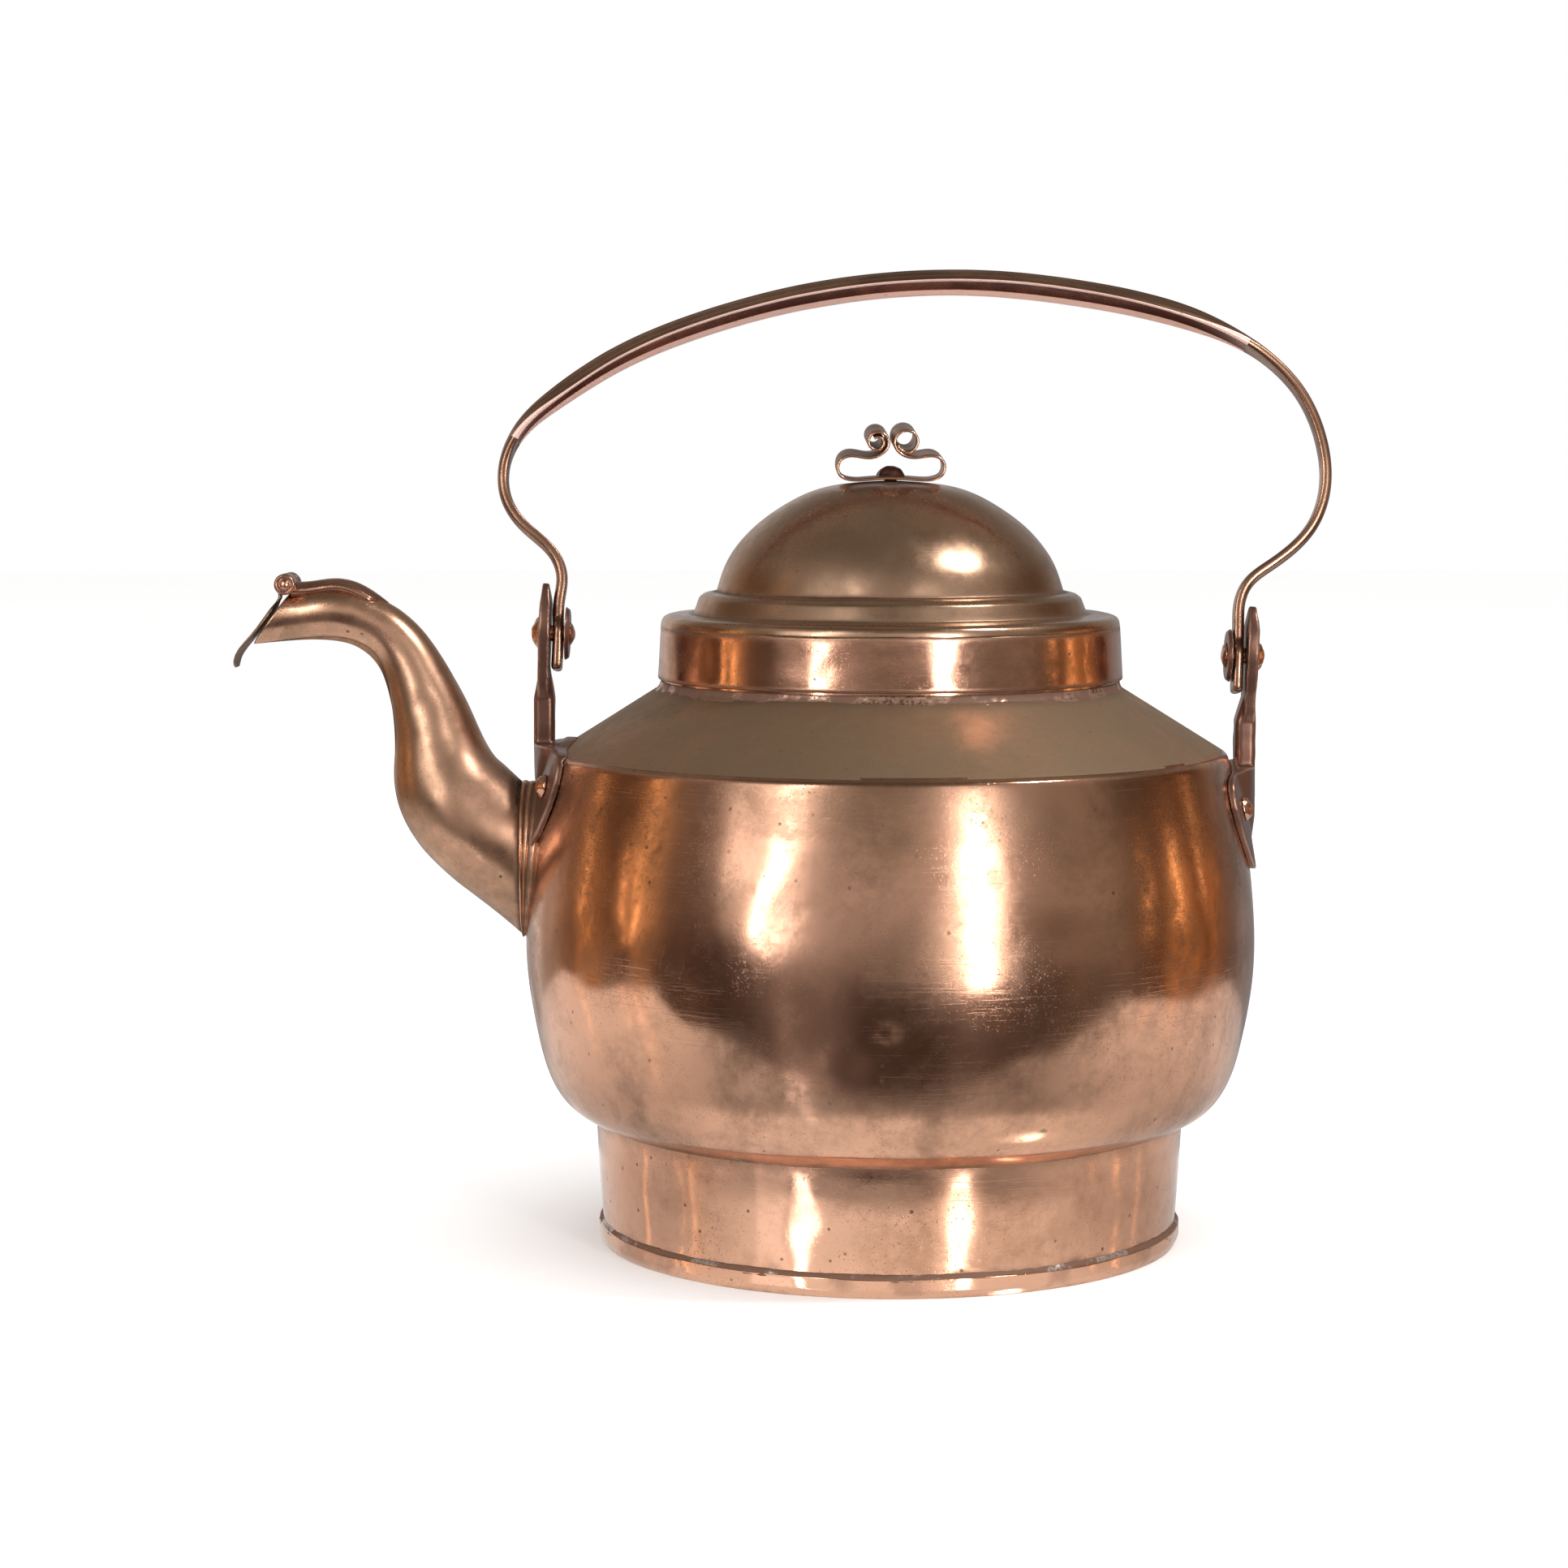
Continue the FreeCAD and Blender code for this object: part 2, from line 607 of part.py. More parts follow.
def make_ear_root(name):
    """The thick middle of the leaf that carries the stem, crowned and thinning downwards."""
    ear = EARS[name]
    row_z = ear["pivot_z"] - RIVET_DROP
    outer = abs(ear["stem_x"]) + STEM_T / 2
    end_r = ROOT_R + wall_at(row_z + ROOT_END)[0] + LEAF_T / 2 - outer
    outline = [(0, row_z + ROOT_END), (end_r, row_z + ROOT_END), (ROOT_R, row_z + ROOT_SHOULDER),
               (ROOT_R, row_z + ROOT_TOP), (0, row_z + ROOT_TOP)]
    crown = spin(Part.Face(Part.makePolygon([V(x, 0, z) for x, z in outline + outline[:1]])))
    crown.translate(V(ear["side"] * (outer - ROOT_R), 0, 0))
    plan = Part.Face(leaf_face_loop(row_z)).extrude(V(ear["side"] * BEYOND, 0, 0))
    return crown.common(plan)


def make_ear(name):
    """One forged lug: a plate round the pivot, a stem, and a leaf bent to the barrel."""
    ear = EARS[name]
    side = ear["side"]
    outward = pivot_axis() * side
    pivot = pivot_point(name)
    row_z = ear["pivot_z"] - RIVET_DROP

    wall = barrel_block(LEAF_T).cut(barrel_block(0.0))
    leaf = Part.Face(leaf_face_loop(row_z)).extrude(V(side * BEYOND, 0, 0)).common(wall)
    if name == "spout_side":
        margin = COLLAR_BEAD_H + 0.1
        room = oval_prism(COLLAR_X - PASS, SLEEVE_END_X, COLLAR_Z, COLLAR_RZ + margin, COLLAR_RY + margin)
        leaf = leaf.cut(room)

    lug = joined([leaf, make_ear_root(name), make_ear_stem(name), make_ear_eye(name)]).cut(barrel_block(0))
    if name == "spout_side":
        lug = lug.cut(room)
    bore = pin(pivot - outward * PASS, outward, PIVOT_R + SEAT_GAP, 2 * PASS)
    return lug.cut(rivet_holes(name, SEAT_GAP) + [bore])


def make_pivot_rivet(name):
    """The rivet that the handle's leg turns on: head outside the ear, tail inside."""
    outward = pivot_axis() * EARS[name]["side"]
    pivot = pivot_point(name)
    head_seat = STRAP_T / 2 + PIVOT_PLAY + EAR_T
    tail_seat = STRAP_T / 2 + PIVOT_PLAY + PIVOT_WASHER_T
    shank = pin(pivot - outward * (tail_seat + 0.8), outward, PIVOT_R, tail_seat + head_seat + 1.6)
    head = dome_head(pivot + outward * head_seat, outward, PIVOT_HEAD_R, PIVOT_HEAD_H)
    tail = dome_head(pivot - outward * tail_seat, -outward, PIVOT_R + 1.6, 1.6)
    return joined([shank, head, tail])


def make_pivot_washer(name):
    """The dished washer between the handle's leg and the rivet's tail."""
    outward = pivot_axis() * EARS[name]["side"]
    start = pivot_point(name) - outward * (STRAP_T / 2 + PIVOT_PLAY + PIVOT_WASHER_T)
    washer = Part.makeCone(PIVOT_WASHER_R - 1.0, PIVOT_WASHER_R, PIVOT_WASHER_T, start, outward)
    return washer.cut(pin(start - outward, outward, PIVOT_R + SEAT_GAP, PIVOT_WASHER_T + 2))


def handle_section(centre, tangent, width):
    """The strap's section: a flat bar at the legs, arched and hollow underneath at the grip."""
    half = width / 2
    out = V(-tangent.z, 0, tangent.x).normalize()
    t = STRAP_T / 2
    arch = min(1.0, max(0.0, (width - LEG_W) / (GRIP_W - LEG_W)))
    shares = (-1.0, -0.8, -0.55, -0.28, 0.0, 0.28, 0.55, 0.8, 1.0)
    shape = []
    for share in shares:
        crown = t + GRIP_CROWN * arch
        fall = LEG_EDGE_DROP + (GRIP_EDGE_DROP - LEG_EDGE_DROP) * arch
        shape.append((half * share, crown - fall * share ** 2))
    for share in reversed(shares):
        middle = -t + GRIP_HOLLOW * arch
        rise = LEG_UNDER_RISE - (GRIP_HOLLOW + GRIP_LIP_DROP) * arch
        shape.append((half * share, middle + rise * share ** 2))
    points = [centre + AXIS_Y * y + out * d for y, d in shape]
    return Part.Wire(Part.makePolygon(points + [points[0]]))


def handle_placement():
    """Where the handle's own plane stands: on the pivot axis, leaning back."""
    slope = FreeCAD.Rotation(AXIS_X, pivot_axis())
    lean = FreeCAD.Rotation(AXIS_X, -HANDLE_LEAN)
    return FreeCAD.Placement(pivot_point("spout_side"), slope.multiply(lean))


def make_handle():
    """The bail: a strap, wide at the grip and narrow at the legs, with an eye at each end."""
    centres = [V(x, 0, z) for x, z, _ in HANDLE_LINE]
    line = Part.BSplineCurve()
    line.interpolate(centres)
    sections = []
    for centre, (_, _, width) in zip(centres, HANDLE_LINE):
        tangent = line.tangent(line.parameter(centre))[0]
        sections.append(handle_section(centre, tangent, width))
    strap = Part.makeLoft(sections, True, False)
    span = (pivot_point("rear") - pivot_point("spout_side")).Length
    eyes = []
    for x in (0.0, span):
        eye = pin(V(x - STRAP_T / 2, 0, 0), AXIS_X, EYE_R, STRAP_T)
        tip = pin(V(x - STRAP_T / 2, 0, LEG_TIP), AXIS_X, LEG_TIP_R, STRAP_T)
        eyes += [eye, tip]
    sides = []
    for x in (0.0, span):
        for start in (x - STRAP_T / 2 - LEG_TRIM, x + STRAP_T / 2):
            sides.append(Part.makeBox(LEG_TRIM, 2 * GRIP_W, LEG_FLAT_H, V(start, -GRIP_W, LEG_TIP_H)))
    bail = joined([strap] + eyes).cut(sides)
    bail = bail.cut(pin(V(-20, 0, 0), AXIS_X, PIVOT_R + RUN_GAP, span + 40))
    bail.Placement = handle_placement()
    return bail


# ---------------------------------------------------------------- lid and knob


def make_lid_top():
    """The dome, its raised step and the flat flange, spun from one sheet."""
    rim_r = SKIRT_TOP_R
    runs = [
        [(rim_r, SKIRT_TOP_Z), (rim_r - 0.2, SKIRT_TOP_Z + 1.8), (rim_r - 1.1, FLANGE_Z - 0.7),
         (rim_r - 3, FLANGE_Z)],
        [(rim_r - 3, FLANGE_Z), (STEP_R + 0.4, FLANGE_Z + 0.5)],
        [(STEP_R + 0.4, FLANGE_Z + 0.5), (STEP_R - 1.6, STEP_Z - 1.4)],
        [(STEP_R - 1.6, STEP_Z - 1.4), (STEP_R - 3.4, STEP_Z)],
        [(STEP_R - 3.4, STEP_Z), DOME_OUTLINE[0]],
        DOME_OUTLINE,
    ]
    shell = spin(sheet_face(runs, LID_SHEET))
    return shell.cut(pin(V(0, 0, DOME_TOP_Z - 10), AXIS_Z, KNOB_RIVET_R + SEAT_GAP, 20))


def make_lid_skirt():
    """The upright band soldered under the lid's rim."""
    return spin(sheet_face([[(SKIRT_R, SKIRT_Z), (SKIRT_TOP_R, SKIRT_TOP_Z)]], LID_SHEET))


def scroll_points(centre_x, centre_z, turn):
    """A scroll winding in from its lower inner side; turn +1 is anticlockwise."""
    points = []
    steps = 12
    for i in range(steps):
        share = i / (steps - 1)
        angle = math.radians(SCROLL_START + SCROLL_SWEEP * share)
        radius = KNOB_SCROLL_R * (1 - SCROLL_TIGHTENING * share)
        points.append((centre_x + turn * radius * math.cos(angle), centre_z + radius * math.sin(angle)))
    return points


def make_knob_scroll():
    """The knob: one strip bent into two lower lobes and two scrolls."""
    foot_z = DOME_TOP_Z + KNOB_STRIP_T / 2
    lobe_z = foot_z + KNOB_LOOP_R
    lobe = []
    for angle in (-90, -45, 0, 45, 80):
        a = math.radians(angle)
        lobe.append((KNOB_LOOP_X + KNOB_LOOP_R * math.cos(a), lobe_z + KNOB_LOOP_R * math.sin(a)))
    waist = [(KNOB_LOOP_X - 6, lobe_z + KNOB_LOOP_R - 0.7),
             (KNOB_SCROLL_X + 0.4, KNOB_SCROLL_Z - KNOB_SCROLL_R - 1.5)]
    right = lobe + waist + scroll_points(KNOB_SCROLL_X, KNOB_SCROLL_Z, -1)
    left = [(-x, z) for x, z in reversed(right)]
    runs = [left, [left[-1], right[0]], right]
    start = moved_runs(runs, -KNOB_STRIP_T / 2)
    strip = extruded_y(sheet_face(start, KNOB_STRIP_T), KNOB_STRIP_W / 2)
    return strip.cut(pin(V(0, 0, DOME_TOP_Z - 5), AXIS_Z, KNOB_RIVET_R + SEAT_GAP, 10))


def make_knob_rivet():
    """The rivet that holds the knob, its head inside the knob's loop."""
    head_seat = V(0, 0, DOME_TOP_Z + KNOB_STRIP_T)
    tail_z = DOME_TOP_Z - LID_SHEET - ROVE_T
    head = dome_head(head_seat, AXIS_Z, KNOB_RIVET_HEAD_R, KNOB_RIVET_HEAD_H)
    shank = pin(V(0, 0, tail_z - 0.5), AXIS_Z, KNOB_RIVET_R, head_seat.z - tail_z + 1)
    tail = dome_head(V(0, 0, tail_z), -AXIS_Z, KNOB_RIVET_R + 1.2, 1.2)
    return joined([head, shank, tail])


def make_knob_rove():
    """The washer under the knob rivet's tail, inside the dome."""
    start = V(0, 0, DOME_TOP_Z - LID_SHEET - ROVE_T)
    washer = pin(start, AXIS_Z, ROVE_R, ROVE_T)
    washer = washer.cut(pin(start - AXIS_Z, AXIS_Z, KNOB_RIVET_R + SEAT_GAP, ROVE_T + 2))
    return washer.cut(make_lid_top())


# ---------------------------------------------------------------- all parts


def build_parts():
    """Every node of the kettle, by name."""
    parts = {}
    holes = []
    for name in EARS:
        holes += rivet_holes(name, SEAT_GAP)
    parts["barrel_shell"] = make_barrel_shell(holes)
    parts["base_ring"] = make_base_ring()
    parts["bottom_plate"] = make_bottom_plate()
    parts["base_solder_bead"] = make_base_solder()
    parts["neck_collar"] = make_neck_collar()
    parts["neck_solder_fillet"] = make_neck_solder()
    parts["spout_tube"] = make_spout_tube()
    parts["spout_collar"] = make_spout_collar()
    parts["flap_hinge_strap"] = make_hinge_strap()
    parts["flap_hinge_pin"] = make_hinge_pin()
    parts["spout_flap"] = make_flap()
    for name in EARS:
        ear = make_ear(name)
        parts["ear_" + name] = ear
        heads = [rivet.cut(ear) for rivet in make_ear_rivets(name)]
        parts["ear_rivets_" + name] = Part.makeCompound(heads)
        roves = [rove.cut(parts["barrel_shell"]) for rove in make_ear_roves(name)]
        parts["ear_roves_" + name] = Part.makeCompound(roves)
        parts["handle_rivet_" + name] = make_pivot_rivet(name)
        parts["handle_washer_" + name] = make_pivot_washer(name)
    parts["handle_bail"] = make_handle()
    parts["lid_top"] = make_lid_top()
    parts["lid_skirt"] = make_lid_skirt()
    parts["knob_scroll"] = make_knob_scroll()
    parts["knob_rivet"] = make_knob_rivet()
    parts["knob_rove"] = make_knob_rove()
    return parts


def main():
    os.makedirs("parts", exist_ok=True)
    for name, shape in build_parts().items():
        shape.exportStep("parts/" + name + ".step")


main()
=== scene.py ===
"""The looks of a copper stovetop kettle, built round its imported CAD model.

Frame: origin at the centre of the base on the stove, +Z up, spout towards -X. Blender works in
metres. The sizes below are in millimetres, as in the CAD source, and the builders turn them
into metres when they make a mesh.
"""
import json
import math

import bpy
import numpy as np
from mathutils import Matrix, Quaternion, Vector


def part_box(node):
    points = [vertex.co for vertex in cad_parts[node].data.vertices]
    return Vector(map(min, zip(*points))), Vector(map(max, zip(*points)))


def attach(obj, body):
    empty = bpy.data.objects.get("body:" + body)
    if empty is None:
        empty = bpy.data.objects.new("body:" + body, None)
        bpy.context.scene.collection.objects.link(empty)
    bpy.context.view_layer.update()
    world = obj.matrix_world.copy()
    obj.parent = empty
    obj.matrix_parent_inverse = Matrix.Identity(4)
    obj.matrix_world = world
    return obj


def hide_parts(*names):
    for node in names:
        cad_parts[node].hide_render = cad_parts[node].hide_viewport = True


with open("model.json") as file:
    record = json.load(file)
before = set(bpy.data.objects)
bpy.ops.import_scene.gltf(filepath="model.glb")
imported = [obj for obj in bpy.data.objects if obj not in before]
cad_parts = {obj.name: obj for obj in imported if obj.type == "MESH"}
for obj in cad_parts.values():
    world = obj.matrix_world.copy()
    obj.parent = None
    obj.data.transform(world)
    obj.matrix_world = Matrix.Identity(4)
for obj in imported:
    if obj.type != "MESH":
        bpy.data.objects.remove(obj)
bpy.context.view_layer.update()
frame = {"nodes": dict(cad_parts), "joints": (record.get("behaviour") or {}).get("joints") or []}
MM = 0.001


def corner_of(node, end, axis):
    """A coordinate of a CAD node's lowest (0) or highest (1) corner, in millimetres."""
    return round(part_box(node)[end][axis] / MM, 2)


def joint_at(name):
    """Where a joint's axis crosses the plane of symmetry: (x, z) in millimetres."""
    joint = next(j for j in frame["joints"] if j["name"] == name)
    return joint["pos_m"][0] / MM, joint["pos_m"][2] / MM


# ---------------------------------------------------------------- sizes, in millimetres

SHEET = 1.1                 # copper sheet of the body
LID_SHEET = 0.9             # copper sheet of the lid and the neck
BASE_R = 100.0
BASE_TOP_Z = corner_of("base_ring", 1, 2)
RIM_H = 6.4                 # turned-up rim of the bottom plate
BARREL_HOLE_R = 101.0
BARREL = [(BARREL_HOLE_R, 42.6), (106.4, 44.9), (111.8, 48.9), (116.6, 56.2), (120.9, 71.0),
          (123.8, 88.0), (124.8, 104.0), (123.9, 120.0), (121.5, 138.5), (115.1, 167.4)]
NECK_R = 77.95
NECK_TOP_R = 76.2
SHOULDER_EDGE_Z = BARREL[-1][1]
SHOULDER = [BARREL[-1], (NECK_R + 0.05, 190.6)]
NECK_Z = (188.0, 213.0)
SKIRT_FOOT = (79.3, 193.3)
SKIRT_TOP = (78.3, 210.6)
FLANGE_Z = 214.6
STEP_R = 66.8
STEP_Z = 221.9
DOME_TOP_Z = 260.0
DOME = [(59.2, 222.6), (56.2, 231.3), (49.4, 241.2), (37.4, 251.0), (22.8, 257.65), (12.0, 259.35),
        (2.2, DOME_TOP_Z)]

SPOUT = [(-104.0, 112.0, 20.2), (-128.3, 132.5, 20.2), (-142.2, 144.3, 20.4), (-151.1, 156.9, 18.9),
         (-155.3, 173.8, 14.4), (-159.0, 186.4, 12.1), (-162.6, 195.8, 10.4), (-170.7, 207.8, 8.8),
         (-178.9, 212.7, 8.6), (-189.2, 215.4, 9.0), (-201.0, 214.4, 8.3), (-218.0, 212.4, 8.2)]
MOUTH_TOP = (-204.6, 221.6)
MOUTH_LIP = (-217.6, 203.9)
COLLAR_X = -126.0
COLLAR_Z = 130.5
COLLAR_RZ = 26.6
COLLAR_RY = 21.0

HINGE = joint_at("spout_flap_swing")
KNUCKLE_R = 3.6
HINGE_HALF_W = 9.0
FLAP_KNUCKLE_HALF_W = 2.8
FREE_GAP = 0.4
STRAP = [(-203.6, 225.6), (-197.0, 226.0), (-189.0, 226.9), (-180.0, 224.6), (-171.6, 218.9)]
STRAP_HALF_W = 6.0

PIVOT_SPOUT = (-113.4, 208.0)
PIVOT_REAR = (118.9, 200.3)
HANDLE_LEAN = math.radians(10.0)
STRAP_T = 4.0
LEG_W = 8.0
GRIP_W = 25.0
EYE_R = 6.4
ARCH_HALF_W = (4.2, 11.5)   # half widths at which the strap starts to arch, and is fully arched
REEDS = 7                   # ribs along the handle's outer face
# (along the pivot axis, up in the handle's plane, strap width)
HANDLE = [(0.0, -11.3, LEG_W), (0.0, 2.0, LEG_W), (0.0, 11.0, LEG_W), (0.6, 19.9, LEG_W),
          (-2.2, 26.8, LEG_W), (-12.6, 36.2, LEG_W), (-19.5, 46.1, LEG_W), (-20.6, 56.5, LEG_W + 1),
          (-15.2, 70.4, 14.0), (-3.9, 81.5, 19.0), (13.5, 94.1, 23.0), (46.0, 109.6, GRIP_W),
          (93.8, 122.8, GRIP_W), (133.5, 126.9, GRIP_W), (182.3, 123.6, GRIP_W), (217.6, 115.4, 18.0),
          (236.4, 106.3, 11.0), (251.6, 92.2, LEG_W), (259.8, 74.1, LEG_W), (261.2, 60.0, LEG_W),
          (256.6, 45.2, LEG_W), (242.5, 31.3, LEG_W), (235.0, 24.6, LEG_W), (232.6, 18.0, LEG_W),
          (232.4, 11.0, LEG_W), (232.4, 2.0, LEG_W), (232.4, -11.3, LEG_W)]

KNOB_T = 1.0
KNOB_W = 18.0
LOBE_X = 14.2
LOBE_R = 3.9
SCROLL_R = 4.05
SCROLL_X = 5.0
SCROLL_Z = DOME_TOP_Z + 13.0

CAMERA_PLACE = (-36.2, -1249.0, 277.4)
CAMERA_DIP = math.radians(5.54)
CAMERA_LENS = 83.95
LIGHTS_AIM = (0.0, 0.0, 120.0)

# ---------------------------------------------------------------- curves and noise


def noise_at(points, size, seed):
    """Smooth random values from -1 to 1 at each point, which change over the given size."""
    cell = points / size + seed * 7.31
    low = np.floor(cell).astype(np.int64)
    part = cell - low
    part = part ** 3 * (part * (part * 6 - 15) + 10)
    total = np.zeros(len(points))
    for k in range(8):
        step = np.array([k & 1, k >> 1 & 1, k >> 2])
        key = (low + step) @ np.array([73856093, 19349663, 83492791]) + seed * 1013904223 & 0xFFFFFFFF
        key = (key ^ key >> 13) * 1274126177 & 0xFFFFFFFF
        key = (key ^ key >> 11) * 668265263 & 0xFFFFFFFF
        value = (key >> 8 & 0xFFFF) / 32767.5 - 1
        total += value * np.prod(np.where(step, part, 1 - part), axis=1)
    return total


def lumps(points, size, seed, octaves=2):
    """Smooth noise with finer, weaker layers on top of the first."""
    total = np.zeros(len(points))
    for k in range(octaves):
        total += noise_at(points, size / 2.1 ** k, seed + k) / 2.2 ** k
    return total


def smoothstep(low, high, value):
    """0 below low, 1 above high and smooth between; low may be above high."""
    share = np.clip((value - low) / (high - low), 0, 1)
    return share * share * (3 - 2 * share)


def spline(points, step):
    """A smooth curve through points with any number of coordinates, sampled every step or so."""
    p = np.array(points, float)
    n = len(p)
    t = np.concatenate([[0], np.cumsum(np.linalg.norm(np.diff(p[:, :2], axis=0), axis=1))])
    h = np.diff(t)
    left = np.eye(n)
    right = np.zeros_like(p)
    for i in range(1, n - 1):
        left[i, i - 1:i + 2] = h[i - 1], 2 * (h[i - 1] + h[i]), h[i]
        right[i] = 6 * ((p[i + 1] - p[i]) / h[i] - (p[i] - p[i - 1]) / h[i - 1])
    bend = np.linalg.solve(left, right)
    at = np.linspace(0, t[-1], max(2, math.ceil(t[-1] / step) + 1))
    i = np.clip(np.searchsorted(t, at) - 1, 0, n - 2)
    gap = h[i][:, None]
    u = (t[i + 1] - at)[:, None]
    v = (at - t[i])[:, None]
    curve = (bend[i] * u ** 3 + bend[i + 1] * v ** 3) / (6 * gap)
    return curve + (p[i] / gap - bend[i] * gap / 6) * u + (p[i + 1] / gap - bend[i + 1] * gap / 6) * v


def along(line):
    """Distance along a line at each of its points."""
    return np.concatenate([[0], np.cumsum(np.linalg.norm(np.diff(line, axis=0), axis=1))])


def outline(runs, corner, coarse):
    """Runs of (radius, height) laid end to end as one line with rounded corners.

    corner is about the radius of the rounding. Points are coarse apart on the straight and close
    together where the line turns.
    """
    fine = 0.15
    turn_a_point = 0.09
    parts = [spline(run, fine) for run in runs]
    line = np.concatenate([parts[0]] + [part[1:] for part in parts[1:]])
    reach = max(1, int(3 * corner / fine))
    kernel = np.exp(-0.5 * (np.arange(-reach, reach + 1) * fine / (corner * 0.6)) ** 2)
    kernel /= kernel.sum()
    padded = np.concatenate([2 * line[0] - line[reach:0:-1], line, 2 * line[-1] - line[-2:-reach - 2:-1]])
    line = np.stack([np.convolve(padded[:, k], kernel, "valid") for k in (0, 1)], 1)
    s = along(line)
    direction = np.unwrap(np.arctan2(*np.diff(line, axis=0).T[::-1]))
    turning = np.abs(np.diff(direction)) / turn_a_point
    density = np.diff(s) / coarse
    density[1:] += turning
    total = np.concatenate([[0], np.cumsum(density)])
    wanted = np.linspace(0, total[-1], math.ceil(total[-1]) + 1)
    at = np.interp(wanted, total, s)
    return np.stack([np.interp(at, s, line[:, k]) for k in (0, 1)], 1)


def round_angles(count):
    """Angles evenly spaced round a full turn."""
    return np.arange(count) * 2 * math.pi / count


def away_from(place, points):
    """The distance of every point from a place."""
    return np.linalg.norm(points - np.array(place), axis=1)


def right_normals(line):
    """Unit normals on the right of a line: outwards, where an outline runs upwards."""
    tangent = np.gradient(line, axis=0)
    tangent /= np.linalg.norm(tangent, axis=1)[:, None]
    return np.stack([tangent[:, 1], -tangent[:, 0]], 1)


# ---------------------------------------------------------------- meshes


def upright(line, side=1):
    """A line of (x, z, ...) stood up in the plane of symmetry: its points, and normals on a side."""
    tangent = np.gradient(line[:, :2], axis=0)
    tangent /= np.linalg.norm(tangent, axis=1)[:, None]
    level = line[:, 0] * 0
    centres = np.stack([line[:, 0], level, line[:, 1]], 1)
    return centres, np.stack([-tangent[:, 1], level, tangent[:, 0]], 1) * side


def uneven(points, amount, size, seed):
    """Every point moved a little, in all three directions, by smooth noise."""
    return points + amount * np.stack([lumps(points, size, seed + k) for k in range(3)], 1)


def quads_of(rows, columns, wrap_rows, wrap_columns):
    """The faces of a grid of points."""
    r = np.arange(rows if wrap_rows else rows - 1)
    c = np.arange(columns if wrap_columns else columns - 1)
    r, c = np.meshgrid(r, c, indexing="ij")
    r2 = (r + 1) % rows
    c2 = (c + 1) % columns
    corners = [r * columns + c, r * columns + c2, r2 * columns + c2, r2 * columns + c]
    return np.stack(corners, -1).reshape(-1, 4)


def make_piece(name, points, faces, body, nodes, material, marks=None):
    """A smooth mesh piece that rides a body and stands for CAD nodes. points are in millimetres.

    marks are values per point that its material reads by name: grime, which darkens for dirt and on some
    pieces for painted shade, and worn, from 0 to 1.
    """
    mesh = bpy.data.meshes.new(name)
    mesh.from_pydata((np.asarray(points) * MM).tolist(), [], [list(map(int, f)) for f in faces])
    mesh.validate()
    mesh.shade_smooth()
    for key in ("grime", "worn"):
        values = np.zeros(len(points)) if not marks or key not in marks else marks[key]
        layer = mesh.attributes.new(key, "FLOAT", "POINT")
        layer.data.foreach_set("value", np.clip(values, 0, 1).astype(np.float32))
    mesh.materials.append(material)
    piece = bpy.data.objects.new(name, mesh)
    bpy.context.scene.collection.objects.link(piece)
    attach(piece, body)
    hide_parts(*nodes)
    return piece


def paint_faces(piece, more, index):
    """Give a piece more materials; index says which one each face wears, 0 being its first."""
    for material in more:
        piece.data.materials.append(material)
    piece.data.polygons.foreach_set("material_index", index.astype(np.int32))


def sheet_loop(line, thickness):
    """A closed section round a sheet: out along its line, round the edge, back, round again.

    Gives the loop's points, the line's point that each belongs to, and their normals.
    """
    normals = right_normals(line)
    count = len(line)
    inner = line - normals * thickness
    loop = list(line)
    owner = list(range(count))
    for end, sign in ((count - 1, 1), (0, -1)):
        centre = (line[end] + inner[end]) / 2
        forward = np.array([-normals[end][1], normals[end][0]]) * sign
        side = normals[end] * sign
        for angle in (60, 90, 120):
            a = math.radians(angle - 90)
            loop.append(centre + thickness / 2 * (forward * math.cos(a) * 0.8 - side * math.sin(a)))
            owner.append(end)
        if sign > 0:
            loop += list(inner[::-1])
            owner += list(range(count - 1, -1, -1))
    return np.array(loop), np.array(owner), normals


def spun(line, thickness, turns, shift):
    """A bent sheet spun about Z, its two faces moved together by shift(points) along its normal."""
    loop, owner, normals = sheet_loop(line, thickness)
    angles = round_angles(turns)
    ring = np.stack([np.cos(angles), np.sin(angles), np.zeros(turns)], 1)

    def on_ring(flat):
        return flat[:, None, :1] * ring[None] + flat[:, None, 1:] * np.array([0, 0, 1.0])

    skin = on_ring(line)
    moved = shift(skin.reshape(-1, 3)).reshape(len(line), turns)
    points = on_ring(loop) + on_ring(normals)[owner] * moved[owner][..., None]
    return points.reshape(-1, 3), quads_of(len(loop), turns, True, True)


END_STEPS = [math.radians(a) for a in (90, 60, 30)]


def swept(centres, up, section, ends):
    """A bar swept along centres: section(i) gives points (y, up) round station i.

    ends is the radius that rounds both ends off.
    """
    across = np.array([0.0, 1.0, 0.0])
    rows = []
    count = len(centres)
    tangents = np.gradient(centres, axis=0)
    tangents /= np.linalg.norm(tangents, axis=1)[:, None]

    def row(i, shrink, push):
        flat = section(i)
        half = np.abs(flat).max(0)
        flat = flat * np.maximum((half - shrink) / half, 0.02)
        return centres[i] + tangents[i] * push + flat[:, :1] * across + flat[:, 1:] * up[i]

    for a in END_STEPS:
        rows.append(row(0, ends * (1 - math.cos(a)), -ends * math.sin(a)))
    rows += [row(i, 0, 0) for i in range(count)]
    for a in reversed(END_STEPS):
        rows.append(row(count - 1, ends * (1 - math.cos(a)), ends * math.sin(a)))
    grid = np.array(rows)
    width = grid.shape[1]
    faces = quads_of(len(rows), width, False, True).tolist()
    faces.append(list(range(width))[::-1])
    faces.append([(len(rows) - 1) * width + k for k in range(width)])
    return grid.reshape(-1, 3), faces


